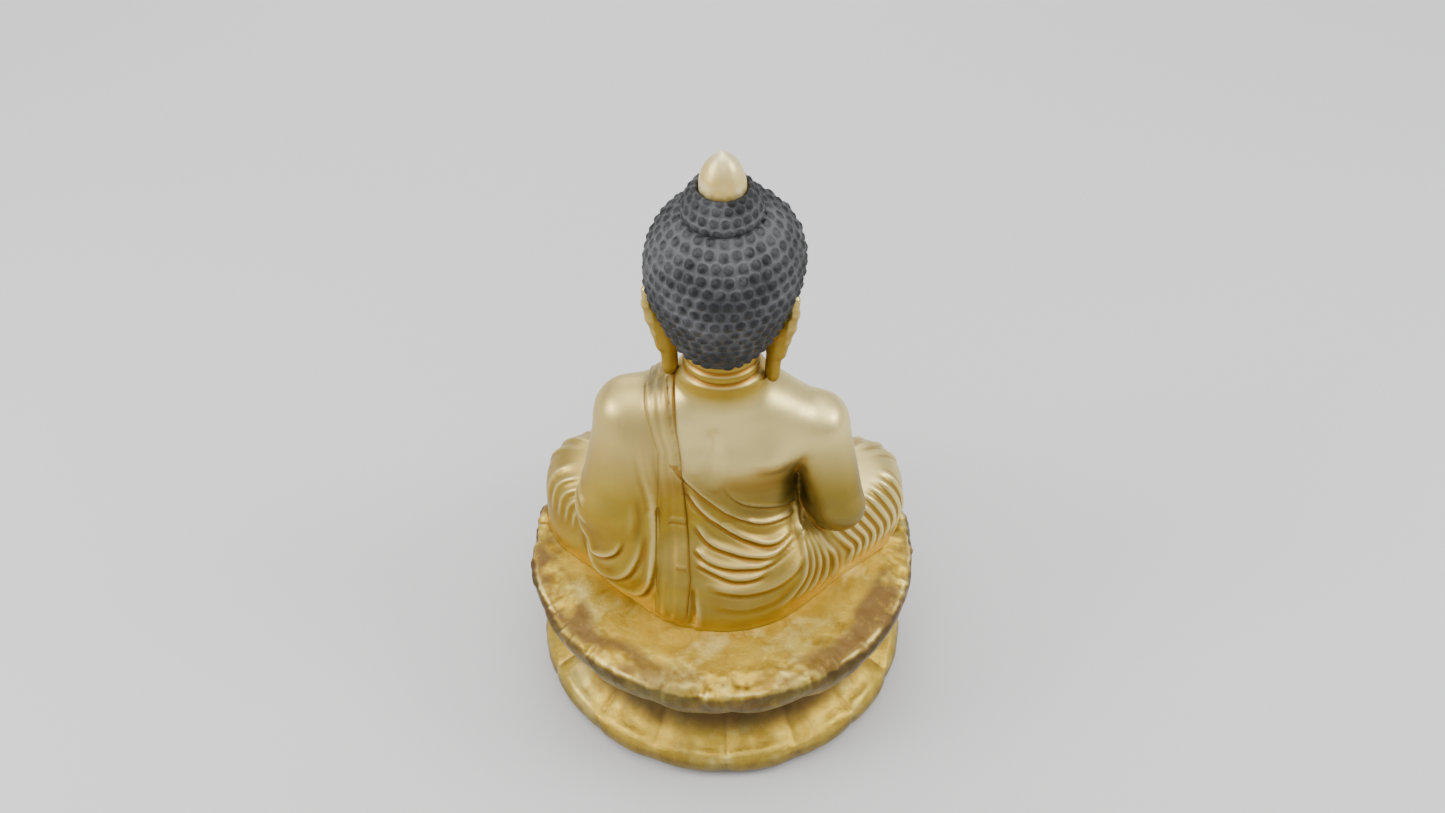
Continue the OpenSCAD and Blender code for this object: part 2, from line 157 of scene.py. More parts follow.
class Nodes:
    """A material's node tree, with short calls for the nodes used here."""

    def __init__(self, name):
        self.material = bpy.data.materials.new(name)
        self.material.use_nodes = True
        self.tree = self.material.node_tree
        self.shader = self.tree.nodes["Principled BSDF"]

    def add(self, kind, **values):
        node = self.tree.nodes.new(kind)
        for key, value in values.items():
            setattr(node, key, value)
        return node

    def link(self, source, target):
        self.tree.links.new(source, target)

    def set(self, **values):
        for key, value in values.items():
            self.shader.inputs[key.replace("_", " ")].default_value = value

    def position(self):
        return self.add("ShaderNodeTexCoord").outputs["Object"]

    def attribute(self, name):
        return self.add("ShaderNodeAttribute", attribute_name=name).outputs["Fac"]

    def noise(self, scale, detail=4, rough=0.55, vector=None, distortion=0):
        node = self.add("ShaderNodeTexNoise")
        node.inputs["Scale"].default_value = scale
        node.inputs["Detail"].default_value = detail
        node.inputs["Roughness"].default_value = rough
        node.inputs["Distortion"].default_value = distortion
        self.link(vector or self.position(), node.inputs["Vector"])
        return node.outputs["Fac"]

    def stretched(self, scale):
        node = self.add("ShaderNodeMapping")
        node.inputs["Scale"].default_value = scale
        self.link(self.position(), node.inputs["Vector"])
        return node.outputs["Vector"]

    def ramp(self, source, low, high, start=0.0, end=1.0):
        """source mapped from low..high to start..end, and held beyond them."""
        node = self.add("ShaderNodeMapRange")
        for key, value in (("From Min", low), ("From Max", high), ("To Min", start), ("To Max", end)):
            node.inputs[key].default_value = value
        self.link(source, node.inputs["Value"])
        return node.outputs["Result"]

    def math(self, operation, a, b):
        node = self.add("ShaderNodeMath", operation=operation)
        for socket, value in zip(node.inputs, (a, b)):
            if isinstance(value, (int, float)):
                socket.default_value = value
            else:
                self.link(value, socket)
        return node.outputs["Value"]

    def times(self, a, b):
        return self.math("MULTIPLY", a, b)

    def axes(self, source):
        """The X, Y and Z of a vector."""
        node = self.add("ShaderNodeSeparateXYZ")
        self.link(source, node.inputs[0])
        return [node.outputs[axis] for axis in "XYZ"]

    def mix(self, factor, a, b):
        node = self.add("ShaderNodeMix", data_type="RGBA")
        for socket, value in ((node.inputs[0], factor), (node.inputs[6], a), (node.inputs[7], b)):
            if isinstance(value, tuple):
                socket.default_value = (*value, 1)
            elif isinstance(value, (int, float)):
                socket.default_value = value
            else:
                self.link(value, socket)
        return node.outputs[2]

    def bump(self, height, strength, distance=MM, normal=None):
        node = self.add("ShaderNodeBump")
        node.inputs["Strength"].default_value = strength
        node.inputs["Distance"].default_value = distance
        self.link(height, node.inputs["Height"])
        if normal:
            self.link(normal, node.inputs["Normal"])
        return node.outputs["Normal"]

    def finish(self, colour=None, roughness=None, metallic=None, normal=None):
        for key, value in (("Base Color", colour), ("Roughness", roughness),
                           ("Metallic", metallic), ("Normal", normal)):
            if value is not None:
                self.link(value, self.shader.inputs[key])
        return self.material


def plain_material(name, colour, roughness):
    n = Nodes(name)
    n.set(Base_Color=(*colour, 1), Roughness=roughness)
    return n.material


def satin_gold(name, body, pale, crease, wear, metal=0.8):
    """Burnished gold leaf over ochre ground, with painted light in its colour: painted highlight on the
    shoulders, the front of the face, the right hip and knee, and what faces up or stands out; painted shade
    of orange ochre in the folds and creases, on the lower bare arms, and where it faces down."""
    n = Nodes(name)
    n.set(Specular_IOR_Level=0.3)
    cavity, robe = n.attribute("cavity"), n.attribute("robe")
    x, _, z = n.axes(n.position())
    _, facing_y, facing_z = n.axes(n.add("ShaderNodeNewGeometry").outputs["Normal"])
    # Painted highlight: paler across the shoulders, and on the front of the face
    high = n.times(n.ramp(z, 0.182, 0.222), n.ramp(z, 0.262, 0.248))
    face = n.times(n.ramp(z, 0.282, 0.300), n.ramp(facing_y, 0, -0.6))
    high = n.math("MAXIMUM", high, n.times(face, 0.5))
    # Painted highlight on what faces up, less of it on the robe
    up = n.times(n.ramp(facing_z, 0.35, 0.95), n.ramp(robe, 0, 1, 0.7, 0.36))
    # Painted shade where it faces down, mixed in below as a dark orange
    down = n.ramp(facing_z, 0.05, -0.6)
    clouds = n.noise(24, 4, 0.55)
    deep = tuple(c * k for c, k in zip(body, (0.80, 0.70, 0.48)))
    colour = n.mix(n.ramp(clouds, 0.35, 0.7), body, deep)
    colour = n.mix(n.times(high, n.ramp(robe, 0, 1, 0.75, 0.38)), colour, pale)
    colour = n.mix(n.times(up, n.ramp(clouds, 0.3, 0.7, 1.0, 0.6)), colour, pale)
    # Painted highlight on the ridges
    colour = n.mix(n.ramp(cavity, 0.56, 0.95, 0, 0.75), colour, pale)
    colour = n.mix(n.times(down, 0.6), colour, tuple(c * 0.45 for c in crease))
    # Painted highlight on the ridges of the robe's folds over the right hip and knee
    knee = n.times(n.ramp(x, -0.050, -0.090, 0, 0.55), robe)
    colour = n.mix(n.times(knee, n.ramp(cavity, 0.40, 0.52)), colour, pale)
    # Painted shade: bare skin darker olive below the shoulders, less where it faces up
    low = n.times(n.ramp(z, 0.215, 0.175), n.ramp(robe, 1, 0))
    low = n.times(low, n.ramp(facing_z, 0.8, 0.2, 0, 0.85))
    colour = n.mix(low, colour, (0.19, 0.14, 0.032))
    # Painted shade: the robe darker in its folds, and orange ochre in the deepest creases of robe and skin
    shade = n.times(n.ramp(cavity, 0.50, 0.28, 0, 0.75), robe)
    colour = n.mix(shade, colour, tuple(c * k for c, k in zip(body, (0.42, 0.34, 0.18))))
    colour = n.mix(n.ramp(cavity, 0.36, 0.12, 0, 0.9), colour, crease)
    colour = n.mix(n.times(n.attribute("stain_and_shade"), n.ramp(n.noise(120, 6, 0.7), 0.35, 0.6)),
                   colour, (0.16, 0.135, 0.09))
    foot = n.times(n.ramp(z, 0.114, 0.102), robe)
    colour = n.mix(n.times(foot, 0.5), colour, (0.62, 0.39, 0.03))
    leaf = n.noise(420, 5, 0.6)
    scuffs = n.ramp(n.noise(60, 8, 0.72), 0.62, 0.72)
    colour = n.mix(n.times(scuffs, wear), colour, (0.36, 0.25, 0.08))
    roughness = n.ramp(n.math("ADD", leaf, clouds), 0.7, 1.3, 0.32, 0.48)
    metallic = n.ramp(cavity, 0.2, 0.5, 0.6 * metal, metal)
    normal = n.bump(n.noise(900, 3, 0.6), 0.06, 0.4 * MM, n.bump(leaf, 0.10, 0.5 * MM))
    return n.finish(colour, roughness, metallic, normal)


def rough_gold():
    """Gold leaf laid over a crumpled ground, rubbed through to brown lacquer in patches, with painted light
    in
    its colour: painted highlight on its ridges and along the upper tier's rim, and painted shade, dark brown
    in its hollows and olive, partly a darker tone, where it stands in shadow."""
    n = Nodes("rough_leaf")
    n.set(Specular_IOR_Level=0.25)
    cavity, brown, olive_shade_and_highlight = n.attribute("cavity"), n.attribute("stain_and_shade"), n.attribute("olive_shade_and_highlight")
    streaks = n.noise(1, 6, 0.65, n.stretched((90, 90, 40)), 0.6)
    fine = n.noise(300, 6, 0.7)
    clouds = n.noise(30, 5, 0.6)
    colour = n.mix(n.ramp(streaks, 0.36, 0.66), (0.36, 0.225, 0.022), (0.54, 0.385, 0.06))
    colour = n.mix(n.ramp(clouds, 0.46, 0.66, 0, 0.6), colour, (0.60, 0.39, 0.04))
    colour = n.mix(n.ramp(clouds, 0.47, 0.33, 0, 0.6), colour, (0.80, 0.66, 0.24))
    # Painted highlight on the ridges, and painted shade of dark brown in the hollows
    colour = n.mix(n.ramp(cavity, 0.60, 0.98, 0, 0.6), colour, (0.76, 0.61, 0.17))
    colour = n.mix(n.ramp(cavity, 0.50, 0.22, 0, 0.75), colour, (0.18, 0.09, 0.012))
    # Brown lacquer rubbed through in patches; on the lower tier the same attribute also holds brown painted
    # shade under the upper tier
    patch = n.times(brown, n.ramp(n.math("ADD", fine, streaks), 0.45, 0.93))
    colour = n.mix(patch, colour, (0.17, 0.095, 0.022))
    # Painted highlight along the upper tier's rim edge, where the attribute is negative
    colour = n.mix(n.ramp(olive_shade_and_highlight, -0.2, -0.8), colour, (0.84, 0.70, 0.27))
    # Olive where the attribute is positive: painted shade where the tiers stand in shadow, partly a darker
    # tone on the upper tier's outer face
    olive_shade_mask = n.times(n.ramp(olive_shade_and_highlight, 0, 1), n.ramp(streaks, 0.3, 0.7, 0.95, 0.7))
    olive = n.mix(n.ramp(clouds, 0.4, 0.6), (0.052, 0.038, 0.007), (0.07, 0.036, 0.012))
    colour = n.mix(olive_shade_mask, colour, olive)
    roughness = n.ramp(n.math("ADD", fine, patch), 0.4, 1.3, 0.34, 0.60)
    metallic = n.ramp(n.math("MAXIMUM", patch, olive_shade_mask), 0.1, 0.8, 0.72, 0.3)
    crumple = n.noise(150, 8, 0.7, None, 0.8)
    normal = n.bump(fine, 0.3, 0.5 * MM, n.bump(crumple, 0.4, 1.2 * MM))
    return n.finish(colour, roughness, metallic, normal)


def painted_hair():
    """Matt mineral paint, dark on the curls, with a painted highlight in lighter lines between them and
    along their edges, more of them higher on the head.
    """
    n = Nodes("hair_paint")
    n.set(Specular_IOR_Level=0.3)
    curl = n.attribute("curl")
    mottle = n.noise(150, 6, 0.65)
    patchy = n.noise(30, 3, 0.5)
    z = n.axes(n.position())[2]
    patchy = n.math("ADD", patchy, n.ramp(z, 0.300, 0.350, -0.12, 0.08))
    # Painted highlight: lighter between the curls and along their edges
    rim = n.times(n.ramp(curl, 0.75, 0.2), n.ramp(patchy, 0.38, 0.62, 0.15, 0.85))
    colour = n.mix(rim, (0.010, 0.0104, 0.0115), (0.10, 0.102, 0.107))
    colour = n.mix(n.ramp(n.math("ADD", mottle, patchy), 1.0, 1.35, 0, 0.6), colour, (0.115, 0.117, 0.122))
    roughness = n.ramp(mottle, 0.3, 0.7, 0.42, 0.66)
    normal = n.bump(n.noise(700, 5, 0.65), 0.25, 0.4 * MM, n.bump(mottle, 0.4, 0.6 * MM))
    return n.finish(colour, roughness, None, normal)


def planed_wood():
    n = Nodes("planed_wood")
    grain = n.noise(1, 5, 0.6, n.stretched((30, 400, 400)), 0.4)
    colour = n.mix(grain, (0.48, 0.31, 0.16), (0.70, 0.52, 0.31))
    return n.finish(colour, n.ramp(grain, 0.3, 0.7, 0.55, 0.75), None, n.bump(grain, 0.3, 0.4 * MM))


def brushed_metal(name, colour, roughness):
    n = Nodes(name)
    n.set(Metallic=1.0)
    brush = n.noise(1, 4, 0.6, n.stretched((900, 900, 60)))
    shade = n.mix(brush, tuple(0.75 * c for c in colour), colour)
    return n.finish(shade, n.ramp(brush, 0.3, 0.7, roughness, roughness + 0.2), None,
                    n.bump(brush, 0.15, 0.2 * MM))


def pressed_felt():
    n = Nodes("felt")
    n.set(Sheen_Weight=0.4)
    fibres = n.noise(1600, 6, 0.8)
    colour = n.mix(fibres, (0.03, 0.028, 0.025), (0.09, 0.082, 0.075))
    return n.finish(colour, n.ramp(fibres, 0.3, 0.7, 0.85, 1.0), None, n.bump(fibres, 0.8, 0.6 * MM))


# ---------------------------------------------------------------- distance fields


def smooth_min(a, b, k):
    h = np.clip(0.5 + 0.5 * (b - a) / k, 0, 1)
    return b + (a - b) * h - k * h * (1 - h)


class Field:
    """A distance field on a regular grid, negative inside, built up from rounded forms."""

    FAR = 50.0

    def __init__(self, low, high, step):
        self.low, self.step = np.array(low, np.float32), step
        count = np.ceil((np.array(high, float) - low) / step).astype(int) + 1
        self.axes = [(low[i] + step * np.arange(count[i])).astype(np.float32) for i in range(3)]
        self.d = np.full(count, self.FAR, np.float32)

    def grid(self):
        x, y, z = self.axes
        return x[:, None, None], y[None, :, None], z[None, None, :]

    def window(self, low, high):
        cuts = []
        for i in range(3):
            ends = (np.array((low[i], high[i])) - self.low[i]) / self.step
            first, last = np.clip((math.floor(ends[0]), math.ceil(ends[1]) + 1), 0, len(self.axes[i]))
            cuts.append(slice(int(first), int(last)))
        x, y, z = (self.axes[i][cuts[i]] for i in range(3))
        return tuple(cuts), x[:, None, None], y[None, :, None], z[None, None, :]

    def sweep(self, a, ra, b=None, rb=None, k=4.0, cut=False):
        """Adds, or cuts away, an ellipsoid of radii ra at a that is swept to radii rb at b."""
        b, rb = (a, ra) if b is None else (b, rb)
        a, ra, b, rb = (np.array(v, np.float32) * np.ones(3, np.float32) for v in (a, ra, b, rb))
        margin = k + 6
        cuts, *axes = self.window(np.minimum(a - ra, b - rb) - margin, np.maximum(a + ra, b + rb) + margin)
        weight = 4 / (ra + rb) ** 2
        span = b - a
        length = float((span * span * weight).sum()) or 1.0
        offset = [axes[i] - a[i] for i in range(3)]
        h = np.clip(sum(offset[i] * span[i] * weight[i] for i in range(3)) / length, 0, 1)
        near, slope = 0, 0
        for i in range(3):
            r = ra[i] + (rb[i] - ra[i]) * h
            q = (offset[i] - span[i] * h) / r
            near = near + q * q
            slope = slope + (q / r) ** 2
        near = np.sqrt(near)
        distance = near * (near - 1) / np.maximum(np.sqrt(slope), 1e-6)
        here = self.d[cuts]
        self.d[cuts] = -smooth_min(-here, distance, k) if cut else smooth_min(here, distance, k)

    def chain(self, points, k=4.0, cut=False):
        """Sweeps through a list of (place, radii)."""
        for (a, ra), (b, rb) in zip(points, points[1:]):
            self.sweep(a, ra, b, rb, k, cut)

    def mesh(self):
        grid = openvdb.FloatGrid(self.FAR)
        grid.copyFromArray(self.d)
        points, quads = grid.convertToQuads(isovalue=0.0)
        return points * self.step + self.low, quads.astype(np.int64)


def lattice(ix, iy, iz, seed):
    n = (ix * 374761393 + iy * 668265263 + iz * 1274126177 + seed * 974711) & 0xFFFFFFFF
    n = ((n ^ (n >> 13)) * 1103515245) & 0xFFFFFFFF
    return ((n ^ (n >> 16)) & 0xFFFF) / 32767.5 - 1


def noise(p, scale, seed=0, octaves=1):
    """Smooth noise from about -1 to 1 at the points p, with features of the given size."""
    total, gain = 0, 1.0
    for octave in range(octaves):
        q = p / scale * 2**octave
        cell = np.floor(q).astype(np.int64)
        f = q - cell
        f = f * f * (3 - 2 * f)
        value = 0
        for corner in range(8):
            bits = np.array([(corner >> i) & 1 for i in range(3)])
            weight = np.prod(np.where(bits, f, 1 - f), axis=-1)
            at = cell + bits
            value = value + weight * lattice(at[..., 0], at[..., 1], at[..., 2], seed + octave)
        total = total + value * gain
        gain *= 0.5
    return total


def smoothstep(x, low, high):
    t = np.clip((x - low) / (high - low), 0, 1)
    return t * t * (3 - 2 * t)


# ---------------------------------------------------------------- meshes


def edges_of(faces):
    return np.concatenate([faces[:, [i, (i + 1) % faces.shape[1]]] for i in range(faces.shape[1])])


def normals_of(points, faces):
    a, b, c = (points[faces[:, i]] for i in range(3))
    d = points[faces[:, -1]]
    face = np.cross(c - a, d - b) if faces.shape[1] == 4 else np.cross(b - a, c - a)
    normal = np.zeros_like(points)
    for i in range(faces.shape[1]):
        for axis in range(3):
            normal[:, axis] += np.bincount(faces[:, i], face[:, axis], len(points))
    return normal / np.maximum(np.linalg.norm(normal, axis=1), 1e-9)[:, None]


def smoothed(values, faces, rounds):
    """values (one row per vertex) averaged with their neighbours, rounds times."""
    edges = edges_of(faces)
    a, b = np.concatenate([edges[:, 0], edges[:, 1]]), np.concatenate([edges[:, 1], edges[:, 0]])
    count = np.maximum(np.bincount(a, minlength=len(values)), 1)
    values = np.array(values, float)
    flat = values.reshape(len(values), -1)
    for _ in range(rounds):
        for j in range(flat.shape[1]):
            flat[:, j] = 0.5 * flat[:, j] + 0.5 * np.bincount(a, flat[b, j], len(flat)) / count
    return flat.reshape(values.shape)


def cavity_of(points, faces, rounds=14, scale=0.8):
    """From 0 in a crease to 1 on a ridge, with 0.5 where the surface is flat."""
    normal = normals_of(points, faces)
    height = ((points - smoothed(points, faces, rounds)) * normal).sum(axis=1)
    return 0.5 + 0.5 * np.tanh(height / scale)


def plain_looks(points, **values):
    """The gold materials' attributes for points that have no wear and no robe, apart from the given ones."""
    count = len(points)
    return {"cavity": np.full(count, 0.5), "stain_and_shade": np.zeros(count), "robe": np.zeros(count), **values}


def make_object(name, points, faces, material, attributes=None):
    """A smooth-shaded object from points in millimetres. faces is one array, or several to be joined."""
    groups = [f for f in (faces if isinstance(faces, list) else [faces]) if len(f)]
    mesh = bpy.data.meshes.new(name)
    mesh.vertices.add(len(points))
    mesh.vertices.foreach_set("co", (np.asarray(points, np.float32) * MM).ravel())
    corners = np.concatenate([f.ravel() for f in groups])
    sizes = np.concatenate([np.full(len(f), f.shape[1]) for f in groups])
    mesh.loops.add(len(corners))
    mesh.loops.foreach_set("vertex_index", corners.astype(np.int32))
    mesh.polygons.add(len(sizes))
    mesh.polygons.foreach_set("loop_start", np.concatenate([[0], np.cumsum(sizes)[:-1]]).astype(np.int32))
    mesh.update(calc_edges=True)
    mesh.validate()
    mesh.shade_smooth()
    for key, values in (attributes or {}).items():
        layer = mesh.attributes.new(key, "FLOAT", "POINT")
        layer.data.foreach_set("value", np.asarray(values, np.float32))
    if material:
        mesh.materials.append(material)
    piece = bpy.data.objects.new(name, mesh)
    bpy.context.scene.collection.objects.link(piece)
    return piece


def stand_for(piece, body, slot, *nodes):
    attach(piece, body)
    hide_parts(*nodes)


def spline(points, count=40):
    """count points on a smooth curve through the given ones."""
    p = np.array(points, float)
    p = np.vstack([2 * p[0] - p[1], p, 2 * p[-1] - p[-2]])
    t = np.linspace(0, len(points) - 1 - 1e-9, count)
    i = t.astype(int)
    f = (t - i)[:, None]
    a, b, c, d = p[i], p[i + 1], p[i + 2], p[i + 3]
    return 0.5 * (2 * b + (c - a) * f + (2 * a - 5 * b + 4 * c - d) * f**2 + (3 * b - a - 3 * c + d) * f**3)


def between(a, b, t):
    return [tuple(np.array(p) * (1 - t) + np.array(q) * t) for p, q in zip(a, b)]


class Carver:
    """Raises folds and cuts creases in a dense mesh along curves that run over its surface."""

    def __init__(self, points, faces):
        self.points, self.faces = points, faces
        self.normals = normals_of(points, faces)
        self.height = np.zeros(len(points))
        self.tree = BVHTree.FromPolygons(points.tolist(), faces.tolist())

    def on_surface(self, curve):
        return np.array([self.tree.find_nearest(Vector(p))[0] for p in curve])

    def stroke(self, points, height, width, below=None, taper=(0.25, 0.25), groove=0.0, samples=40):
        """A ridge (or with a negative height a crease) along points. below is its width on its lower
        side, and groove cuts an undercut line along that side."""
        curve = self.on_surface(spline(points, samples))
        below = below or width
        reach = 3 * max(width, below) + 2
        low, high = curve.min(axis=0) - reach, curve.max(axis=0) + reach
        near = np.nonzero(((self.points > low) & (self.points < high)).all(axis=1))[0]
        if not len(near):
            return
        p = self.points[near]
        square = ((p[:, None, :] - curve[None, :, :]) ** 2).sum(axis=2)
        index = square.argmin(axis=1)
        tangent = np.gradient(curve, axis=0)
        tangent /= np.maximum(np.linalg.norm(tangent, axis=1), 1e-6)[:, None]
        t = index / (samples - 1)
        offset = p - curve[index]
        along = (offset * tangent[index]).sum(axis=1)
        offset = offset - tangent[index] * along[:, None]
        side = np.cross(tangent[index], self.normals[near])
        side *= np.where(side[:, 2:3] < 0, -1, 1)
        s = (offset * side).sum(axis=1)
        distance = np.linalg.norm(offset, axis=1)
        spread = np.where(s > 0, width, below)
        fade = smoothstep(t, 0, taper[0]) if taper[0] else 1
        fade = fade * (smoothstep(1 - t, 0, taper[1]) if taper[1] else 1)
        beyond = np.where((index == 0) | (index == samples - 1), np.exp(-(along / width) ** 2), 1)
        facing = np.clip((self.normals[near] * self.normals_at(curve)[index]).sum(axis=1), 0, 1)
        profile = np.exp(-((distance / spread) ** 2))
        if groove:
            undercut = np.exp(-(((s + 2.0 * below) / (0.75 * below)) ** 2))
            profile = profile - groove * undercut * (distance < reach)
        self.height[near] += height * profile * fade * beyond * facing

    def normals_at(self, curve):
        return np.array([self.tree.find_nearest(Vector(p))[1] for p in curve])

    def family(self, first, last, count, height, width, ends=(0, 1), **more):
        """count strokes spaced evenly from the curve first to the curve last."""
        for i in range(count):
            t = ends[0] + (ends[1] - ends[0]) * i / max(count - 1, 1)
            self.stroke(between(first, last, t), height, width, **more)

    def result(self):
        return self.points + self.normals * self.height[:, None]


# ---------------------------------------------------------------- the seated body


def body_field(step):
    f = Field((-134, -112, SEAT_Z - 8), (134, 90, NECK_Z + 14), step)
    spine = [((0, 10, 124), (62, 56, 30)), ((0, 5, 166), (45, 35, 30)), ((0, 2, 208), (55, 36, 32)),
             ((0, 2, 236), (46, 26, 20)), ((0, 3, 258), (28, 23, 14))]
    f.chain(spine, 12)
    f.sweep((57, 2, 225), 21.5, (20, 3, 237), (30, 22, 17), 14)
    f.sweep((-59, 2, 215), 21, (-20, 2, 229), (30, 22, 17), 14)
    f.sweep((0, 3, 240), 24, (0, 3, NECK_Z + 20), 23.4, 9)
    f.chain([((57, 2, 225), 21.5), ((74, 20, 160), 19), ((31, -46, 147), 12)], 6)
    f.chain([((-59, 2, 215), 21), ((-75, 22, 160), 17), ((-31, -46, 149), 10)], 2.5)
    for side, knee_x, knee_z, knee_r in ((LEFT, 89, 121, 27), (RIGHT, 92, 117, 25)):
        knee = ((side * knee_x, -34, knee_z), (29, 32, knee_r))
        f.chain([((side * 30, 20, 124), (36, 38, 24)), knee], 14)
        f.chain([knee, ((side * 26, -68, 116), (26, 22, 16))], 10)
        f.sweep((0, 26, 100), (60, 48, 26), (side * 72, -20, 100), (46, 44, 26), 16)
    f.sweep((26, -68, 116), (26, 22, 16), (-26, -68, 116), (26, 22, 16), 10)
    f.chain([((48, 16, 205), (20, 16, 24)), ((58, 30, 126), (26, 22, 26))], 14)
    f.sweep((66, 22, 160), (20, 18, 20), (66, 22, 128), (22, 20, 20), 12)
    return f


def carve_back(c):
    """The robe across the back, in arcs that hang from the shawl to the right armpit."""
    c.stroke([(30, 34, 214), (17, 38, 194), (5, 40, 182), (-8, 42, 172), (-24, 40, 163), (-40, 30, 158),
              (-46, 22, 157)], 1.5, 2.2, 1.1, groove=0.55, taper=(0.05, 0.15))
    c.stroke([(2, 41, 203), (-5, 39, 188), (-14, 39, 180), (-26, 36, 174), (-39, 27, 166), (-47, 17, 161)],
             1.5, 2.4, 1.2, groove=0.5, taper=(0.5, 0.1))
    arcs = [
        [(22, 36, 190), (12, 40, 176), (-2, 44, 164), (-17, 46, 154), (-32, 45, 149), (-47, 32, 150)],
        [(18, 41, 166), (8, 48, 154), (-5, 52, 149), (-19, 53, 145), (-32, 50, 144), (-48, 34, 147)],
        [(17, 50, 150), (10, 54, 144), (-2, 57, 140), (-16, 57, 139), (-28, 55, 140), (-47, 39, 144)],
        [(17, 56, 143), (5, 59, 137), (-7, 62, 133), (-19, 61, 133), (-30, 58, 137)],
    ]
    for i, arc in enumerate(arcs):
        c.stroke(arc, 2.3 - 0.15 * i, 3.2, 1.6, groove=0.5, taper=(0.12, 0.2))
    c.stroke([(14, 64, 131), (-2, 67, 127), (-16, 67, 125), (-32, 62, 126), (-46, 53, 131), (-53, 42, 138)],
             1.2, 3.4, 1.8, groove=0.4, taper=(0.2, 0.2))
    c.stroke([(12, 70, 121), (-4, 73, 117), (-20, 72, 116), (-38, 64, 118), (-52, 50, 127)], 0.7, 4, 2.4,
             groove=0.3, taper=(0.3, 0.3))


def carve_right_hip(c):
    """Pleats that fan from the right armpit over the hip, and others that wrap the thigh and knee."""
    pit = [(-48, 30, 152), (-52, 40, 140)]
    c.family(pit + [(-52, 52, 124), (-44, 62, 114), (-30, 70, 108)],
             [(-54, 22, 150), (-66, 32, 134), (-74, 32, 120), (-74, 34, 108), (-68, 42, 103)],
             5, 2.0, 2.2, taper=(0.1, 0.3), below=2.0)
    c.family([(-70, 24, 140), (-80, 24, 126), (-86, 22, 114), (-82, 28, 104)],
             [(-104, -26, 140), (-118, -22, 126), (-122, -20, 112), (-118, -14, 103)],
             9, 1.9, 2.0, taper=(0.2, 0.25), below=1.7)
    c.stroke([(-47, 12, 166), (-47, 22, 156), (-48, 30, 148), (-52, 38, 141)], 2.2, 2.4, taper=(0.2, 0.3))


def carve_left_side(c):
    """The sleeve that hangs in arcs from the left elbow, and the straight folds beside the shawl."""
    c.stroke([(90, 22, 158), (87, 36, 148), (84, 39, 135), (77, 44, 136), (69, 47, 143), (64, 45, 156)],
             2.2, 3.2, 1.6, groove=0.5, taper=(0.2, 0.25))
    c.stroke([(88, 30, 140), (83, 40, 124), (73, 49, 119), (62, 52, 127), (55, 50, 142), (52, 44, 162)],
             1.8, 3.2, 1.7, groove=0.5, taper=(0.15, 0.3))
    c.stroke([(86, 34, 128), (74, 48, 112), (63, 54, 108), (54, 57, 111), (48, 57, 122), (45, 53, 138),
              (44, 44, 160), (46, 36, 186), (50, 32, 204)], 2.1, 3.2, 1.7,
             groove=0.5, taper=(0.1, 0.3), samples=60)
    c.stroke([(91, 10, 186), (92, 22, 176), (86, 34, 168)], 1.1, 2.6, 1.4, groove=0.4)
    c.stroke([(90, 14, 172), (91, 28, 164), (84, 38, 158)], 1.2, 2.6, 1.4, groove=0.4)
    c.stroke([(55, 36, 192), (53, 43, 168), (56, 48, 148)], -1.6, 3.4, taper=(0.4, 0.3))
    for x, top in ((50, 236), (46, 240)):
        c.stroke([(x, 20, top), (x, 31, 214), (x - 3, 37, 186), (x - 4, 46, 158), (x - 4, 57, 132),
                  (x - 3, 63, 112)], 1.1, 2.4, taper=(0.3, 0.1), samples=50)
    c.stroke([(20, 64, 130), (19, 71, 116), (20, 76, 104)], -1.6, 2.0, taper=(0.3, 0))
    c.stroke([(18, 68, 124), (15, 74, 112), (15, 77, 103)], 0.9, 2.4, taper=(0.4, 0))
    c.family([(74, 20, 146), (96, 4, 132), (100, 6, 112)], [(96, -24, 148), (112, -24, 136), (116, -16, 112)],
             5, 1.3, 2.2, taper=(0.3, 0.3), below=1.8)


def carve_skin(c):
    """Spine, shoulder blades, chest and neck lines."""
    c.stroke([(4, 25, 246), (6, 34, 226), (8, 38, 206), (8, 38, 192)], -3.8, 7, taper=(0.4, 0.4))
    c.stroke([(-20, 30, 236), (-30, 34, 216), (-28, 37, 200)], 4.2, 12, taper=(0.5, 0.5))
    c.stroke([(-50, 14, 204), (-47, 20, 190), (-45, 20, 176)], -1.8, 4, taper=(0.5, 0.3))
    c.stroke([(-40, -30, 200), (-24, -36, 196), (-6, -35, 199)], -1.2, 4, taper=(0.4, 0.4))
    c.stroke([(0, -26, 240), (0, -34, 218), (0, -35, 200), (0, -31, 182)], -1.0, 4, taper=(0.4, 0.4))
    for side in (LEFT, RIGHT):
        c.stroke([(side * 8, -21, 250), (side * 26, -21, 247), (side * 44, -15, 242)], 1.2, 4,
                 taper=(0.4, 0.4))


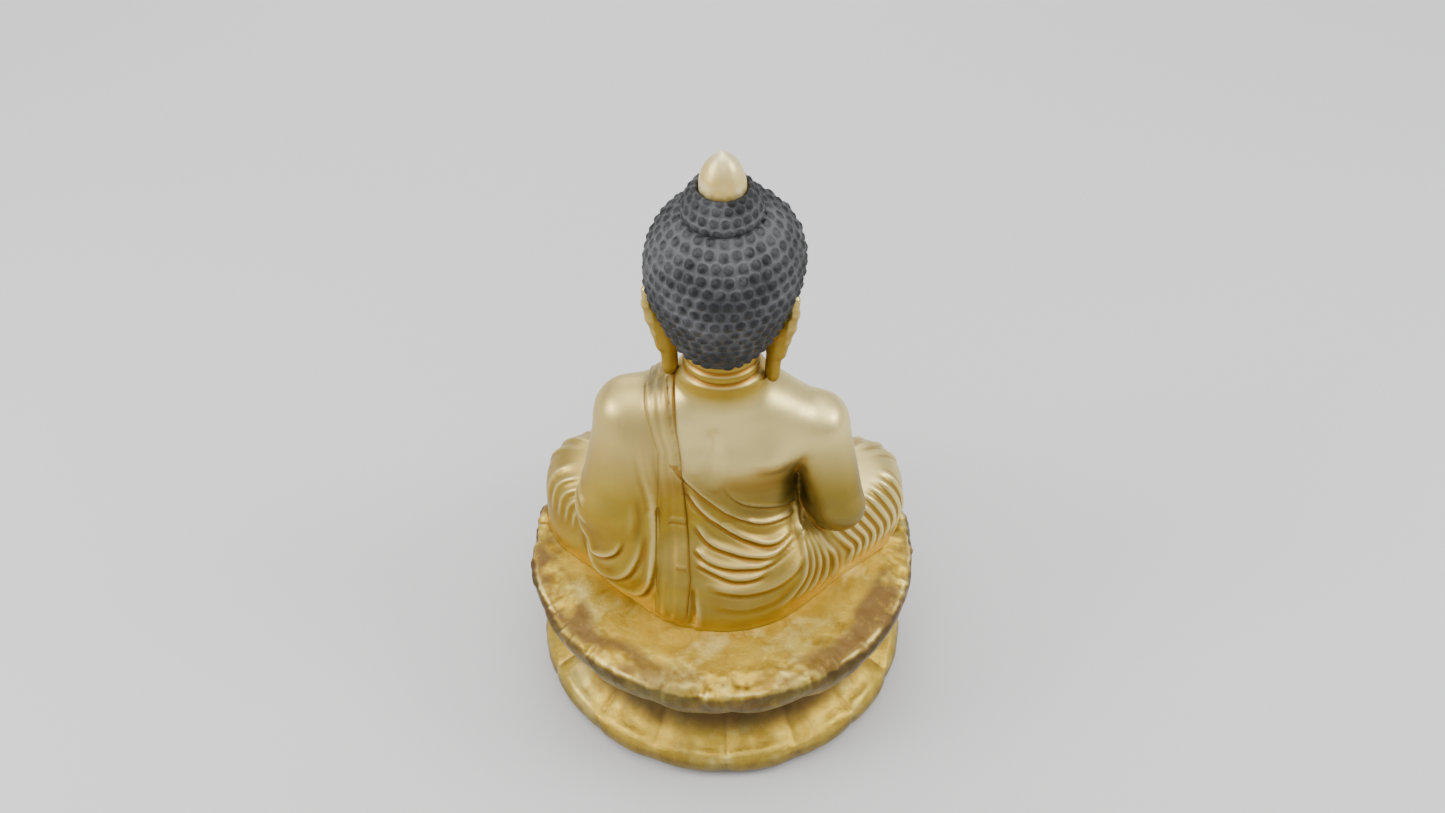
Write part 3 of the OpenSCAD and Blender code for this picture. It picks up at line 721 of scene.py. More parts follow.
def carve_front(c):
    """The robe from the left shoulder across the chest, and the folds that run over the shins."""
    c.stroke([(34, -18, 250), (26, -26, 240), (10, -35, 218), (-14, -37, 196), (-36, -30, 178),
              (-50, -8, 168)], 1.9, 2.4, 1.3, groove=0.5, taper=(0.1, 0.1), samples=50)
    c.family([(44, -18, 240), (36, -27, 222), (16, -36, 196), (-10, -36, 178), (-40, -27, 164)],
             [(52, -16, 220), (48, -25, 200), (40, -31, 178), (22, -36, 164), (-6, -38, 152)],
             4, 1.5, 2.8, below=1.5, groove=0.4, taper=(0.2, 0.2), samples=50)
    for depth in (0, 9, 18):
        c.stroke([(-40, -66 - depth * 0.4, 136 - depth), (-18, -84, 128 - depth), (0, -90, 124 - depth),
                  (18, -84, 128 - depth), (40, -66 - depth * 0.4, 136 - depth)], 1.7, 3.0, 1.6,
                 groove=0.45, taper=(0.25, 0.25))
    for side in (LEFT, RIGHT):
        c.family([(side * 46, -50, 142), (side * 60, -68, 134), (side * 62, -80, 118), (side * 56, -86, 106)],
                 [(side * 92, -34, 148), (side * 112, -44, 136), (side * 116, -48, 118),
                  (side * 112, -50, 104)],
                 6, 1.5, 2.6, below=1.8, taper=(0.3, 0.2))
    for fold in ([(62, -10, 186), (84, -6, 182), (92, 14, 178)],
                 [(-46, 2, 168), (-48, 8, 160), (-50, 14, 154)]):
        c.stroke(fold, 1.2, 2.6, 1.4, groove=0.4)
    for z in (196, 180):
        c.stroke([(60, -20, z + 4), (76, -12, z - 4), (90, 6, z + 2)], 1.3, 2.8, 1.5, groove=0.4)


def robe_share(p):
    """1 where the robe covers the body and 0 on bare skin, at points p in millimetres."""
    x, y, z = p.T
    back = np.interp(x, [-60, -46, -24, -8, 5, 17, 26, 34], [150, 157, 163, 172, 182, 194, 206, 262])
    front = np.interp(x, [-60, -50, -36, -14, 10, 26, 34], [166, 168, 178, 196, 218, 240, 262])
    edge = np.where(y > SEAM_Y, back, front)
    cover = smoothstep(edge - z, -1.2, 1.2)
    right_arm = (x < -49) & (z > 150 - 0.35 * (y - 20))
    return np.where(right_arm, 0, np.where(x > 36, 1, cover))


def arm_plane(side):
    """Between an arm and the thigh under it."""
    return (side * SIDE_X, 0, 143), (-0.10 * side, 0.06, 1)


def elbow_plane(side):
    return (side * 63, 4, 156), (-0.45 * side, -0.7, -0.55)


def beyond(p, plane):
    return (Vector(p) - Vector(plane[0])).dot(Vector(plane[1])) > 0


def bisect(mesh, faces, place, normal):
    """Cuts the given faces of a mesh where they cross a plane."""
    geometry = faces + list({e for f in faces for e in f.edges}) + list({v for f in faces for v in f.verts})
    return bmesh.ops.bisect_plane(mesh, geom=geometry, dist=1e-7, plane_co=place, plane_no=normal)


def split(points, faces, attributes, planes, label):
    """Cuts a closed surface by planes into blocks, by the label of each place, and closes each block. Seams
    keep the whole surface's normals, so that they don't show."""
    whole = make_object("whole", points, faces, None, attributes)
    normals = normals_of(points, faces)
    for i, axis in enumerate("xyz"):
        layer = whole.data.attributes.new("n" + axis, "FLOAT", "POINT")
        layer.data.foreach_set("value", normals[:, i].astype(np.float32))
    mesh = bmesh.new()
    mesh.from_mesh(whole.data)
    remove(whole)
    skin = mesh.faces.layers.int.new("skin")
    for face in mesh.faces:
        face[skin] = 1
    cuts = [(Vector(place) * MM, Vector(normal).normalized()) for place, normal in planes]
    for place, normal in cuts:
        surface = [f for f in mesh.faces if f[skin]]
        cut = bisect(mesh, surface, place, normal)
        edges = [e for e in cut["geom_cut"] if isinstance(e, bmesh.types.BMEdge)]
        bmesh.ops.triangle_fill(mesh, edges=edges, use_beauty=True, use_dissolve=False, normal=normal)
    for place, normal in cuts:
        bisect(mesh, [f for f in mesh.faces if not f[skin]], place, normal)
    mesh.verts.index_update()
    blocks = {}
    for face in mesh.faces:
        centre = face.calc_center_median() / MM
        ring = [v.index for v in face.verts]
        if face[skin]:
            blocks.setdefault(label(*centre), []).append((ring, True))
            continue
        front, back = label(*(centre + face.normal * 0.02)), label(*(centre - face.normal * 0.02))
        if front != back:
            blocks.setdefault(front, []).append((ring[::-1], False))
            blocks.setdefault(back, []).append((ring, False))
    place = np.array([v.co for v in mesh.verts])
    values = {}
    for key in list(attributes) + ["nx", "ny", "nz"]:
        layer = mesh.verts.layers.float[key]
        values[key] = np.array([v[layer] for v in mesh.verts])
    mesh.free()
    normal = np.stack([values.pop("n" + axis) for axis in "xyz"], axis=1)
    made = {}
    for name in sorted(b for b in blocks if b):
        rings = blocks[name]
        used = sorted({v for ring, _ in rings for v in ring})
        index = {v: i for i, v in enumerate(used)}
        data = bpy.data.meshes.new(name)
        data.from_pydata(place[used].tolist(), [], [[index[v] for v in ring] for ring, _ in rings])
        data.polygons.foreach_set("use_smooth", [smooth for _, smooth in rings])
        data.normals_split_custom_set([normal[v].tolist() if smooth else (0, 0, 0)
                                       for ring, smooth in rings for v in ring])
        for key, value in values.items():
            layer = data.attributes.new(key, "FLOAT", "POINT")
            layer.data.foreach_set("value", value[used].astype(np.float32))
        made[name] = data
    return made


def remove(thing):
    data = thing.data
    bpy.data.objects.remove(thing)
    bpy.data.meshes.remove(data)


def block_object(name, data, material):
    data.materials.clear()
    data.materials.append(material)
    piece = bpy.data.objects.new(name, data)
    bpy.context.scene.collection.objects.link(piece)
    return piece


def body_label(x, y, z):
    """The figure's block that a place on its surface belongs to."""
    side, word = (LEFT, "left") if x > 0 else (RIGHT, "right")
    if z > NECK_Z:
        return None
    if abs(x) < SIDE_X:
        if y > SEAM_Y:
            return "torso_back"
        return "torso_front" if z > LAP_Z else "leg_block"
    if beyond((x, y, z), arm_plane(side)):
        return word + ("_forearm" if beyond((x, y, z), elbow_plane(side)) else "_upper_arm")
    return word + "_hip" if y > SEAM_Y else "leg_block"


def body_planes():
    planes = [((0, 0, NECK_Z), (0, 0, 1)), ((0, SEAM_Y, 0), (0, 1, 0)), ((0, 0, LAP_Z), (0, 0, 1))]
    for side, _ in SIDES:
        planes += [((side * SIDE_X, 0, 0), (1, 0, 0)), arm_plane(side), elbow_plane(side)]
    return planes


def shoulder_wear(points):
    """1 in the middle of the worn patch where the shawl crosses the left shoulder, fading to 0 round it."""
    x, y, z = points.T
    return np.exp(-(((x - 40) / 9) ** 2 + ((y - 4) / 12) ** 2 + ((z - 252) / 9) ** 2))


def make_body():
    """The figure from the seat to the neck as one carved surface, cut into the blocks that it is joined from.
    Returns the surface, for what lies on it."""
    points, faces = body_field(1.1).mesh()
    points = smoothed(points, faces, 2)
    c = Carver(points, faces)
    robe = robe_share(points)
    c.height += 0.9 * robe
    carve_back(c)
    carve_right_hip(c)
    carve_left_side(c)
    carve_front(c)
    carve_skin(c)
    points = smoothed(c.result(), faces, 1)
    points[:, 2] = np.maximum(points[:, 2], SEAT_Z + FLOAT)
    cavity = smoothed(cavity_of(points, faces), faces, 1)
    looks = {"cavity": cavity, "stain_and_shade": shoulder_wear(points), "robe": robe}
    for name, data in split(points, faces, looks, body_planes(), body_label).items():
        bare = name in ("right_upper_arm", "right_forearm")
        piece = block_object("carved_" + name, data, MATERIALS["skin" if bare else "robe"])
        stand_for(piece, "figure", "skin_gold" if bare else "robe_gold", name)
    return Carver(points, faces)


# ---------------------------------------------------------------- shawl and hem


def sheet_faces(rows, columns, wrap=False):
    """Quads of a grid of rows x columns points. wrap joins the last row to the first."""
    i = np.arange(rows if wrap else rows - 1)[:, None]
    j = np.arange(columns - 1)[None, :]
    k = (i + 1) % rows
    quads = np.stack([i * columns + j, i * columns + j + 1, k * columns + j + 1, k * columns + j], axis=-1)
    return quads.reshape(-1, 4)


def tube_faces(around, m):
    """Quads of a closed ring whose section is a loop of m points."""
    i = np.arange(around)
    k = (i + 1) % around
    closing = np.stack([i * m + m - 1, i * m, k * m, k * m + m - 1], axis=1)
    return np.concatenate([sheet_faces(around, m, wrap=True), closing])


def robe_looks(points, cavity, stain_and_shade):
    return {"cavity": cavity, "stain_and_shade": stain_and_shade, "robe": np.ones(len(points))}


def make_shawl(body):
    """The folded shawl that lies over the left shoulder and hangs down the back to the seat."""
    # Rays that find the body from inside: up the chest, round the shoulder and down the back, each as the
    # height it starts from and its direction in y and z
    path = [(z, -1, 0) for z in np.arange(196, 216, 1.6)]
    path += [(215, math.sin(a), math.cos(a)) for a in np.radians(np.arange(-90, 91, 3.0))]
    path += [(z, 1, 0) for z in np.arange(214, SEAT_Z + 1.2, -1.4)]
    across = 44
    rows, rests = [], []
    for start, dy, dz in path:
        height = start + 38 * dz
        front = dy < 0
        left = np.interp(height, [100, 145, 187, 223, 251], [45, 43, 41, 41, 46 if front else 49])
        right = np.interp(height, [100, 108, 132, 170, 224, 254], [30, 22.5, 20, 22.5, 26, 29])
        row, rest = [], []
        for u in np.linspace(0, 1, across):
            x = left + (right - left) * u
            hit, normal = body.tree.ray_cast(Vector((x, 5, start)), Vector((0, dy, dz)))[:2]
            edge = smoothstep(u, 0, 0.12) * 0.75 + smoothstep(u, 0.12, 0.3) * 0.25
            edge *= math.sqrt(max(0.0, 1 - max(0.0, (u - 0.93) / 0.07) ** 2))
            pleats = 0.35 * math.sin(u * 21) * (1 - u) + 0.25 * math.sin(u * 9 + 1)
            patch = sum(depth * math.exp(-(((height - z) / 0.9) ** 2)) * (low < u < high)
                        for z, low, high, depth in ((212, 0.5, 0.85, 0.8), (164, 0.35, 0.97, 1.0),
                                                    (138, 0.6, 0.9, 0.6)) if not front)
            thick = edge * (2.3 + pleats + patch) - 0.5
            out = (Vector(normal) + Vector((0, dy, dz))).normalized()
            row.append(hit + out * thick)
            rest.append(hit - out * 1.0)
        rows.append(row)
        rests.append(rest)
    top, bottom = np.array(rows), np.array(rests)
    ends = np.minimum(np.arange(len(top)), np.arange(len(top))[::-1])
    ends = np.where(np.arange(len(top)) < len(top) / 2, ends / 7, ends / 1.5)
    lift = np.clip(ends, 0, 1)[:, None, None]
    top = bottom + (top - bottom) * np.sqrt(lift)
    loop = np.concatenate([top, bottom[:, ::-1]], axis=1)
    loop[..., 2] = np.maximum(loop[..., 2], SEAT_Z + FLOAT)
    points = loop.reshape(-1, 3)
    n, m = loop.shape[:2]
    faces = sheet_faces(n, m + 1)
    faces = (faces // (m + 1)) * m + (faces % (m + 1)) % m
    caps = []
    for row, flip in ((0, 1), (n - 1, -1)):
        for j in range(across - 1):
            quad = [row * m + j, row * m + j + 1, row * m + m - 2 - j, row * m + m - 1 - j]
            caps.append(quad[::-flip])
    faces = np.concatenate([faces, np.array(caps)])
    looks = robe_looks(points, cavity_of(points, faces, 8), shoulder_wear(points))
    piece = make_object("carved_shawl", points, faces[:, ::-1], MATERIALS["robe"], looks)
    stand_for(piece, "figure", "robe_gold", "shawl")


def make_hem(body):
    """The skirt's edge that lies on the seat, fanned in pleats before the shins."""
    around, steps, hem_height = 720, 14, 6.2
    angle = np.linspace(0, 2 * math.pi, around, endpoint=False)
    rows = []
    for a in angle:
        way = Vector((math.sin(a), -math.cos(a), 0))
        fan = math.exp(-((math.atan2(math.sin(a), math.cos(a)) / 0.62) ** 4))
        fold = math.sin(a * 44) * 0.5 + 0.5
        row = []
        for step in range(steps):
            t = step / (steps - 1)
            z = SEAT_Z + FLOAT + hem_height * t
            start = Vector((0, -6, max(z, SEAT_Z + 2)))
            hit = body.tree.ray_cast(start, way)[0]
            flare = (1.6 + fan * (9.5 + 2.2 * fold)) * (1 - t) ** 1.7 - 0.7
            row.append((hit.x + way.x * flare, hit.y + way.y * flare, z + fan * fold * 0.8 * (1 - t) * t * 4))
        inner = hit - way * 3
        row.append((inner.x, inner.y, SEAT_Z + FLOAT + hem_height))
        row.append((inner.x, inner.y, SEAT_Z + FLOAT))
        rows.append(row)
    grid = np.array(rows)
    points = grid.reshape(-1, 3)
    m = grid.shape[1]
    faces = tube_faces(around, m)
    # Painted highlight: the cavity rises up the hem, so that it is paler towards its upper edge
    cavity = 0.50 + 0.12 * np.tile(np.linspace(0, 1, m), around)
    looks = robe_looks(points, cavity, np.zeros(len(points)))
    piece = make_object("carved_hem", points, faces[:, ::-1], MATERIALS["robe"], looks)
    stand_for(piece, "figure", "robe_gold", "skirt_hem")


# ---------------------------------------------------------------- lotus pedestal


def outline_through(points, count):
    """count points, evenly spaced, on a smooth outline through the given (radius, height) points."""
    dense = spline([(*p, 0) for p in points], 400)[:, :2]
    length = np.concatenate([[0], np.cumsum(np.linalg.norm(np.diff(dense, axis=0), axis=1))])
    t = np.linspace(0, length[-1], count)
    return np.stack([np.interp(t, length, dense[:, i]) for i in range(2)], axis=1)


def ring_points(r, z, angle):
    return np.stack(np.broadcast_arrays(r * np.cos(angle), r * np.sin(angle), z), axis=-1)


def petal_edge(angle, seed):
    """0 along the middle of a petal and 1 between two, with petals of slightly uneven width."""
    circle = np.stack([np.cos(angle), np.sin(angle), np.zeros_like(angle)], axis=-1)
    turn = angle * PETALS / (2 * math.pi) + 0.16 * noise(circle * 6, 1.0, seed)
    return np.abs(2 * (turn - np.floor(turn)) - 1)


def make_ring(name, skin, inner, count, around, shape, slot, node):
    """A closed ring. skin is its carved outside, which shape(r, z, angle, point) raises, and inner the
    plain outline of the rest, both as (radius, height) points."""
    outline = outline_through(skin, count)
    outline = np.insert(outline, 1, outline[0] * 0.97 + outline[1] * 0.03, axis=0)
    tangent = np.gradient(outline, axis=0)
    tangent /= np.linalg.norm(tangent, axis=1)[:, None]
    angle = np.linspace(0, 2 * math.pi, around, endpoint=False)[:, None]
    r, z = outline[None, :, 0], outline[None, :, 1]
    place = ring_points(r, z, angle)
    raised, stain_and_shade, olive_shade_and_highlight = (np.broadcast_to(v, place.shape[:2]) for v in shape(r, z, angle, place))
    radius = np.minimum(r - tangent[None, :, 1] * raised, RIM_R - 0.15)
    height = z + tangent[None, :, 0] * raised
    wall = np.array(inner)
    radius = np.concatenate([radius, np.tile(wall[:, 0], (around, 1))], axis=1)
    height = np.concatenate([height, np.tile(wall[:, 1], (around, 1))], axis=1)
    blank = np.zeros((around, len(wall)))
    stain_and_shade, olive_shade_and_highlight = (np.concatenate([values, blank], axis=1) for values in (stain_and_shade, olive_shade_and_highlight))
    points = ring_points(radius, height, angle).reshape(-1, 3)
    m = radius.shape[1]
    faces = tube_faces(around, m)
    cavity = cavity_of(points, faces, 10, 0.8)
    flush = (np.hypot(points[:, 0], points[:, 1]) < inner[-1][0] + 2.5) & (points[:, 2] > SEAT_Z - 1)
    cavity[flush] = 0.5
    looks = {"cavity": cavity, "stain_and_shade": stain_and_shade.ravel(), "olive_shade_and_highlight": olive_shade_and_highlight.ravel()}
    piece = make_object(name, points, faces, MATERIALS["leaf"], looks)
    stand_for(piece, "pedestal", slot, node)


def upper_shape(r, z, angle, place):
    """Scalloped sides, a crumpled rim, brown lacquer showing round the top, olive on the outer face below the
    rim, partly a darker tone and partly painted shade, and a painted highlight along the rim's edge.
    """
    valley = petal_edge(angle, 3)
    side = smoothstep(-z, -(SEAT_Z - 6), -(SEAT_Z - 18))
    under = smoothstep(-z, -82, -66) * smoothstep(r, 90, 106)
    raised = -1.0 * valley**2.6 * side - 5.0 * valley**2 * under + 2.4 * under
    level = np.broadcast_to(0.25 * r, place.shape[:2])[..., None]
    circle = np.concatenate([place[..., :2] / r[..., None] * RIM_R, level], -1)
    rim = np.exp(-(((r - 126.5) / 5) ** 2)) * smoothstep(z, 88, 95)
    crimps = 1 - 2 * np.abs(noise(circle, 8, 11, 2))
    raised = raised + rim * (1.3 * crimps + 0.8 * noise(circle, 30, 17) - 0.5)
    rough = smoothstep(r, 102, 118) * smoothstep(z, 84, 92)
    raised = raised + rough * (1.5 * noise(place, 10, 21, 3) - 0.3)
    raised = raised + 0.18 * smoothstep(r, 98.5, 106) * noise(place, 16, 5, 2)
    raised = raised + 0.5 * noise(place, 22, 25, 2) * side
    bearing = np.arctan2(place[..., 0], place[..., 1])
    blotch = smoothstep(noise(place, 34, 31, 2) + 0.35 * noise(place, 9, 41, 2), -0.5, 0.2)
    blotch = blotch * (1 - 0.8 * np.exp(-((bearing / 0.36) ** 2)))
    stain_and_shade = blotch * smoothstep(r + 5 * noise(place, 20, 43), 104, 113) * smoothstep(z, 86, 94)
    # Olive, partly a darker tone and partly painted shade, on the outer face below the rim; a broken painted
    # highlight along the rim's edge, carried as negative values, which also clears the brown there
    olive_shade_and_highlight = smoothstep(-z + 0.7 * noise(circle, 9, 13, 2), -97.2, -94.5) * smoothstep(r, 96, 106)
    edge_line = np.exp(-(((z - 97.4) / 1.1) ** 2)) * smoothstep(r, 122, 125)
    edge_line = edge_line * np.clip(0.35 + 0.9 * noise(circle, 14, 19, 2), 0, 0.7)
    return raised, stain_and_shade * (1 - edge_line), olive_shade_and_highlight - 0.8 * edge_line


def lower_shape(r, z, angle, place):
    """Broad cupped petals with a soft crease between each two and a lip that curls at their tips, brown
    lacquer in patches, and painted shade under the upper tier and on the side below the lip.
    """
    edge = petal_edge(angle, 8)
    top = smoothstep(z, 15, 21)
    sag = edge**3
    crease = np.exp(-(((1 - edge) / 0.12) ** 2)) * np.clip(0.4 + 0.8 * noise(place, 18, 53), 0, 1)
    raised = -top * smoothstep(128 - r, 0, 9) * (1.5 * sag + 0.3 * crease)
    raised = raised - 1.5 * edge**4 * (1 - top) * smoothstep(z, 2, 8)
    lip = np.exp(-(((r - 122.5) / 3.0) ** 2)) * smoothstep(z, 18, 22)
    curl = 0.5 + 0.5 * noise(place, 26, 57)
    raised = raised + lip * (1.9 * (1 - edge**2) * curl - 0.3)
    raised = raised - 1.0 * (1 - edge**2) * curl * np.exp(-(((r - 116.5) / 4) ** 2)) * top
    raised = raised + (0.45 * noise(place, 12, 51, 2) + 0.35 * noise(place, 30, 55)) * smoothstep(z, 3, 10)
    # Brown lacquer in random patches, and brown painted shade across the inner part of the top, under the
    # upper tier
    blotch = smoothstep(noise(place, 24, 61, 3), 0.1, 0.8)
    stain_and_shade = np.clip(blotch * 0.3 + 0.9 * smoothstep(-r, -116, -103) * top, 0, 1) * smoothstep(z, 8, 16)
    # Olive painted shade further in under the upper tier, and on the side below the lip
    inside = smoothstep(-r + 3 * noise(place, 14, 67, 2), -112, -102) * smoothstep(z, 24, 30)
    olive_shade_and_highlight = 0.75 * smoothstep(-z, -21, -15) + 0.9 * inside
    return raised, stain_and_shade, np.clip(olive_shade_and_highlight, 0, 1)


def waist_shape(r, z, angle, place):
    """Close vertical flutes, like stamens, browner in the grooves between them, and evenly darkened with
    olive painted shade, as the waist stands in the shadow between the tiers.
    """
    flute = 0.5 + 0.5 * np.cos(angle * 72)
    mid = smoothstep(z, LOWER_TOP + 1, LOWER_TOP + 3) * smoothstep(-z, -WAIST_TOP + 1, -WAIST_TOP + 3)
    return mid * (0.9 * flute + 0.3 * noise(place, 6, 71, 2)), 0.5 * mid * (1 - flute), 0.7


def make_seat():
    """The round seat that closes the upper tier, with the same gilding."""
    low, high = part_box("seat_board")
    radius, bottom = high[0] / MM, low[2] / MM
    steps = np.linspace(0, 1, 60)
    outline = [(0, SEAT_Z)] + [(max(radius * t, 0.5), SEAT_Z) for t in steps]
    outline += [(radius, bottom), (0, bottom)]
    # A ring just inside the rim keeps its edge sharp
    outline.insert(-3, (radius - 0.05, SEAT_Z))
    points, faces = turn_outline(outline[::-1], 240)
    top = points[:, 2] > SEAT_Z - 0.1
    radial = np.hypot(points[:, 0], points[:, 1])
    points[top, 2] += 0.1 * noise(points[top], 16, 5, 2) * smoothstep(-radial[top], -radius, -radius + 6)
    blank = np.zeros(len(points))
    looks = {"cavity": blank + 0.5, "stain_and_shade": blank, "olive_shade_and_highlight": blank}
    piece = make_object("gilded_seat", points, faces, MATERIALS["leaf"], looks)
    stand_for(piece, "pedestal", "leaf_gold", "seat_board")


def make_lotus():
    board_low, board_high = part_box("seat_board")
    board_r = board_high[0] / MM + 0.05
    board_z = board_low[2] / MM
    bore = 84
    make_ring("carved_upper_lotus",
              [(board_r, SEAT_Z), (106, 99.95), (113, 99.8), (120, 99.4),
               (125, 98.9), (128, 97.2), (130, 93.8), (130.8, 89.6), (129.6, 82.5), (125.8, 75.6),
               (120.6, 70.4), (114.5, 66.6), (108, 63.6), (102.5, 61.2), (bore, WAIST_TOP)],
              [(bore, board_z), (board_r, board_z)], 96, 640, upper_shape, "leaf_gold", "upper_lotus")
    plate_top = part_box("base_plate")[1][2] / MM
    plate_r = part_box("base_plate")[1][0] / MM + 0.3
    make_ring("carved_lower_lotus",
              [(75, LOWER_TOP), (94, LOWER_TOP), (97, 46.6), (101, 41), (106, 34), (112, 28.4), (118, 25.0),
               (122.5, 22.6), (125.6, 19.6), (127.3, 15), (127, 9.5), (124.5, 4.8), (120, 2.3), (113, 2),
               (plate_r, 2)],
              [(plate_r, plate_top), (75, plate_top)], 100, 640, lower_shape, "leaf_gold", "lower_lotus")
    make_ring("carved_waist",
              [(78, WAIST_TOP), (94, WAIST_TOP), (95.6, 58.6), (93.5, 56.2), (91, 54), (93.5, 51.8),
               (95.6, 49.4), (94, LOWER_TOP), (78, LOWER_TOP)],
              [(78, LOWER_TOP + 4), (78, WAIST_TOP - 4)], 36, 576, waist_shape, "leaf_gold", "waist_ring")


# ---------------------------------------------------------------- head


def turned(points):
    """Points of the head, modelled facing -Y, in the figure's axes."""
    c, s = math.cos(HEAD_TURN), math.sin(HEAD_TURN)
    x, y, z = np.asarray(points, float).T
    return np.stack([c * x - s * y, s * x + c * y, z], axis=1)


def head_field(step):
    f = Field((-44, -54, NECK_Z - 3), (44, 46, CROWN_Z + 5), step)
    f.sweep(SKULL, 41)
    f.sweep((0, -5, 356), (36, 38, 18), k=8)
    f.sweep((0, 3, NECK_Z - 10), 23.4, (0, 3, 300), 23.0, 6)
    f.sweep((0, -4, 322), (36, 34, 26), (0, -7, 304), (28, 26, 18), 8)
    f.sweep((0, -13, 318), (30, 28, 22), (0, -20, 302), (20, 20.5, 13), 6)
    f.sweep((0, -31, 296), (9.5, 9.8, 8), k=6)
    for side in (LEFT, RIGHT):
        f.sweep((side * 18, -24, 316), (13, 13.5, 11), k=7)
        f.sweep((side * 15.5, -46.5, 333), (9.5, 6.2, 4.6), (side * 20, -44, 332), (8, 6, 4.2), 4, cut=True)
        f.sweep((side * 14.5, -34.6, 331), (8.6, 6.6, 5.2), (side * 18, -32.8, 330.6), (7.6, 6, 4.4), 1.6)
        f.sweep((side * 9, -39.6, 340.5), (4, 2.6, 1.8), (side * 23, -33.6, 341.5), (5, 2.6, 1.6), 4)
        f.sweep((side * 4.9, -42.6, 316.6), (2.7, 3.2, 2.9), k=2)
    f.sweep((0, -39.5, 338), (3.0, 3.2, 4), (0, -44.8, 318), (3.8, 4.0, 3.4), 3.5)
    for side in (LEFT, RIGHT):
        f.sweep((side * 2.7, -46.4, 313.6), (1.3, 1.6, 1.2), k=1, cut=True)
        f.sweep((0, -41.8, 306.3), (3.5, 2.6, 1.9), (side * 9, -38.6, 305.3), (2.6, 2.2, 1.1), 1.6)
        f.sweep((0, -41.3, 301.2), (4.2, 2.9, 2.2), (side * 6.5, -39.4, 302.2), (3, 2.4, 1.5), 1.6)
    f.sweep((0, -45.5, 311), (1.2, 1.6, 2.4), k=2.4, cut=True)
    return f


def carve_face(c):
    """Half-closed lids, arched brows and a calm mouth."""
    for side in (LEFT, RIGHT):
        def at(*points):
            return [(side * x, y, z) for x, y, z in points]

        c.stroke(at((6.6, -40, 329.8), (10, -41, 328.9), (15, -41, 328.2), (20, -39, 328.6),
                    (25.5, -34.5, 330.2)), -0.75, 0.6, taper=(0.12, 0.15))
        c.stroke(at((7.5, -40, 328.3), (15, -41, 326.4), (22, -38, 327.2)), 0.35, 0.8, taper=(0.2, 0.2))
        c.stroke(at((7, -40, 332.6), (12, -41, 335), (18, -39, 335.6), (25.5, -34, 332.6)), -0.45, 0.7,
                 taper=(0.15, 0.15))
        c.stroke(at((3.4, -40, 336.5), (7, -40, 341), (14, -38.5, 344.2), (22, -34, 344), (29, -28, 339.5)),
                 0.6, 1.0, taper=(0.1, 0.2))
        c.stroke(at((4.4, -41, 320), (7.4, -41, 318.4), (7.6, -40.5, 314.6)), -0.5, 0.9, taper=(0.3, 0.2))
        c.stroke(at((0, -43.6, 303.8), (5, -42.6, 303.3), (9, -40, 303.8), (12.4, -37, 305.2)), -0.8, 0.6,
                 taper=(0, 0.15))
        c.stroke(at((0, -43, 308.7), (2.6, -43, 309.4), (7, -41, 308), (12, -37.6, 305.6)), 0.35, 0.6,
                 taper=(0, 0.3))
    c.stroke([(-7, -38, 296.8), (0, -40, 296.2), (7, -38, 296.8)], -0.5, 1.6, taper=(0.4, 0.4))


def make_head(body):
    points, faces = head_field(0.72).mesh()
    points = smoothed(points, faces, 1)
    c = Carver(points, faces)
    carve_face(c)
    x, y, z = points.T
    out = np.hypot(x, y - 3)
    on_neck = smoothstep(-out, -30, -27) * smoothstep(-z, -292, -286)
    rings = 0
    for level, depth in ((277, 1.9), (268.5, 1.7), (261, 1.4)):
        rings = rings - depth * np.exp(-(((z - level - 0.05 * y) / 1.3) ** 2))
        rings = rings + 0.8 * np.exp(-(((z - level - 4.2 - 0.05 * y) / 3) ** 2))
    c.height += rings * on_neck
    places = smoothed(c.result(), faces, 1)
    # Under the hair the head keeps clear of the cap
    away = places - np.array(SKULL)
    away /= np.linalg.norm(away, axis=1)[:, None]
    places -= 1.5 * smoothstep(hair_side(places), 4, 9)[:, None] * away
    points = turned(places)
    # The foot of the neck takes the outline of the shoulders' blocks
    axis = Vector((0, 3, NECK_Z - 0.3))
    bearing = np.linspace(-math.pi, math.pi, 181)
    reach = [body.tree.ray_cast(axis, Vector((math.cos(a), math.sin(a), 0)))[3] for a in bearing]
    low = points[:, 2] < NECK_Z + 9
    x, y, z = points[low].T
    theirs = np.interp(np.arctan2(y - 3, x), bearing, reach)
    own = np.hypot(x, y - 3)
    share = 1 - smoothstep(z, NECK_Z, NECK_Z + 8)
    scale = 1 + (theirs / np.maximum(own, 1e-6) - 1) * share
    scale = np.where(own > 12, scale, 1)
    points[low, 0], points[low, 1] = x * scale, 3 + (y - 3) * scale
    points[:, 2] = np.minimum(points[:, 2], CROWN_Z - 5)
    shaded = 0.22 * smoothstep(points[:, 2], NECK_Z + 2, 266) * smoothstep(-points[:, 2], -300, -286)
    on_face = smoothstep(-points[:, 1], 18, 28) * smoothstep(points[:, 2], 290, 298)
    cavity = 0.5 + (cavity_of(points, faces, 10, 0.6) - 0.5) * (1 - 0.5 * on_face)
    looks = plain_looks(points, cavity=np.clip(cavity - shaded, 0, 1))
    normal = (-math.sin(HEAD_TURN), math.cos(HEAD_TURN), 0)
    seam = (tuple(SEAM_Y * v for v in normal), normal)

    def label(x, y, z):
        if z < NECK_Z:
            return None
        return "head_back" if beyond((x, y, z), seam) else "head_front"

    for name, data in split(points, faces, looks, [((0, 0, NECK_Z), (0, 0, 1)), seam], label).items():
        stand_for(block_object("carved_" + name, data, MATERIALS["skin"]), "figure", "skin_gold", name)


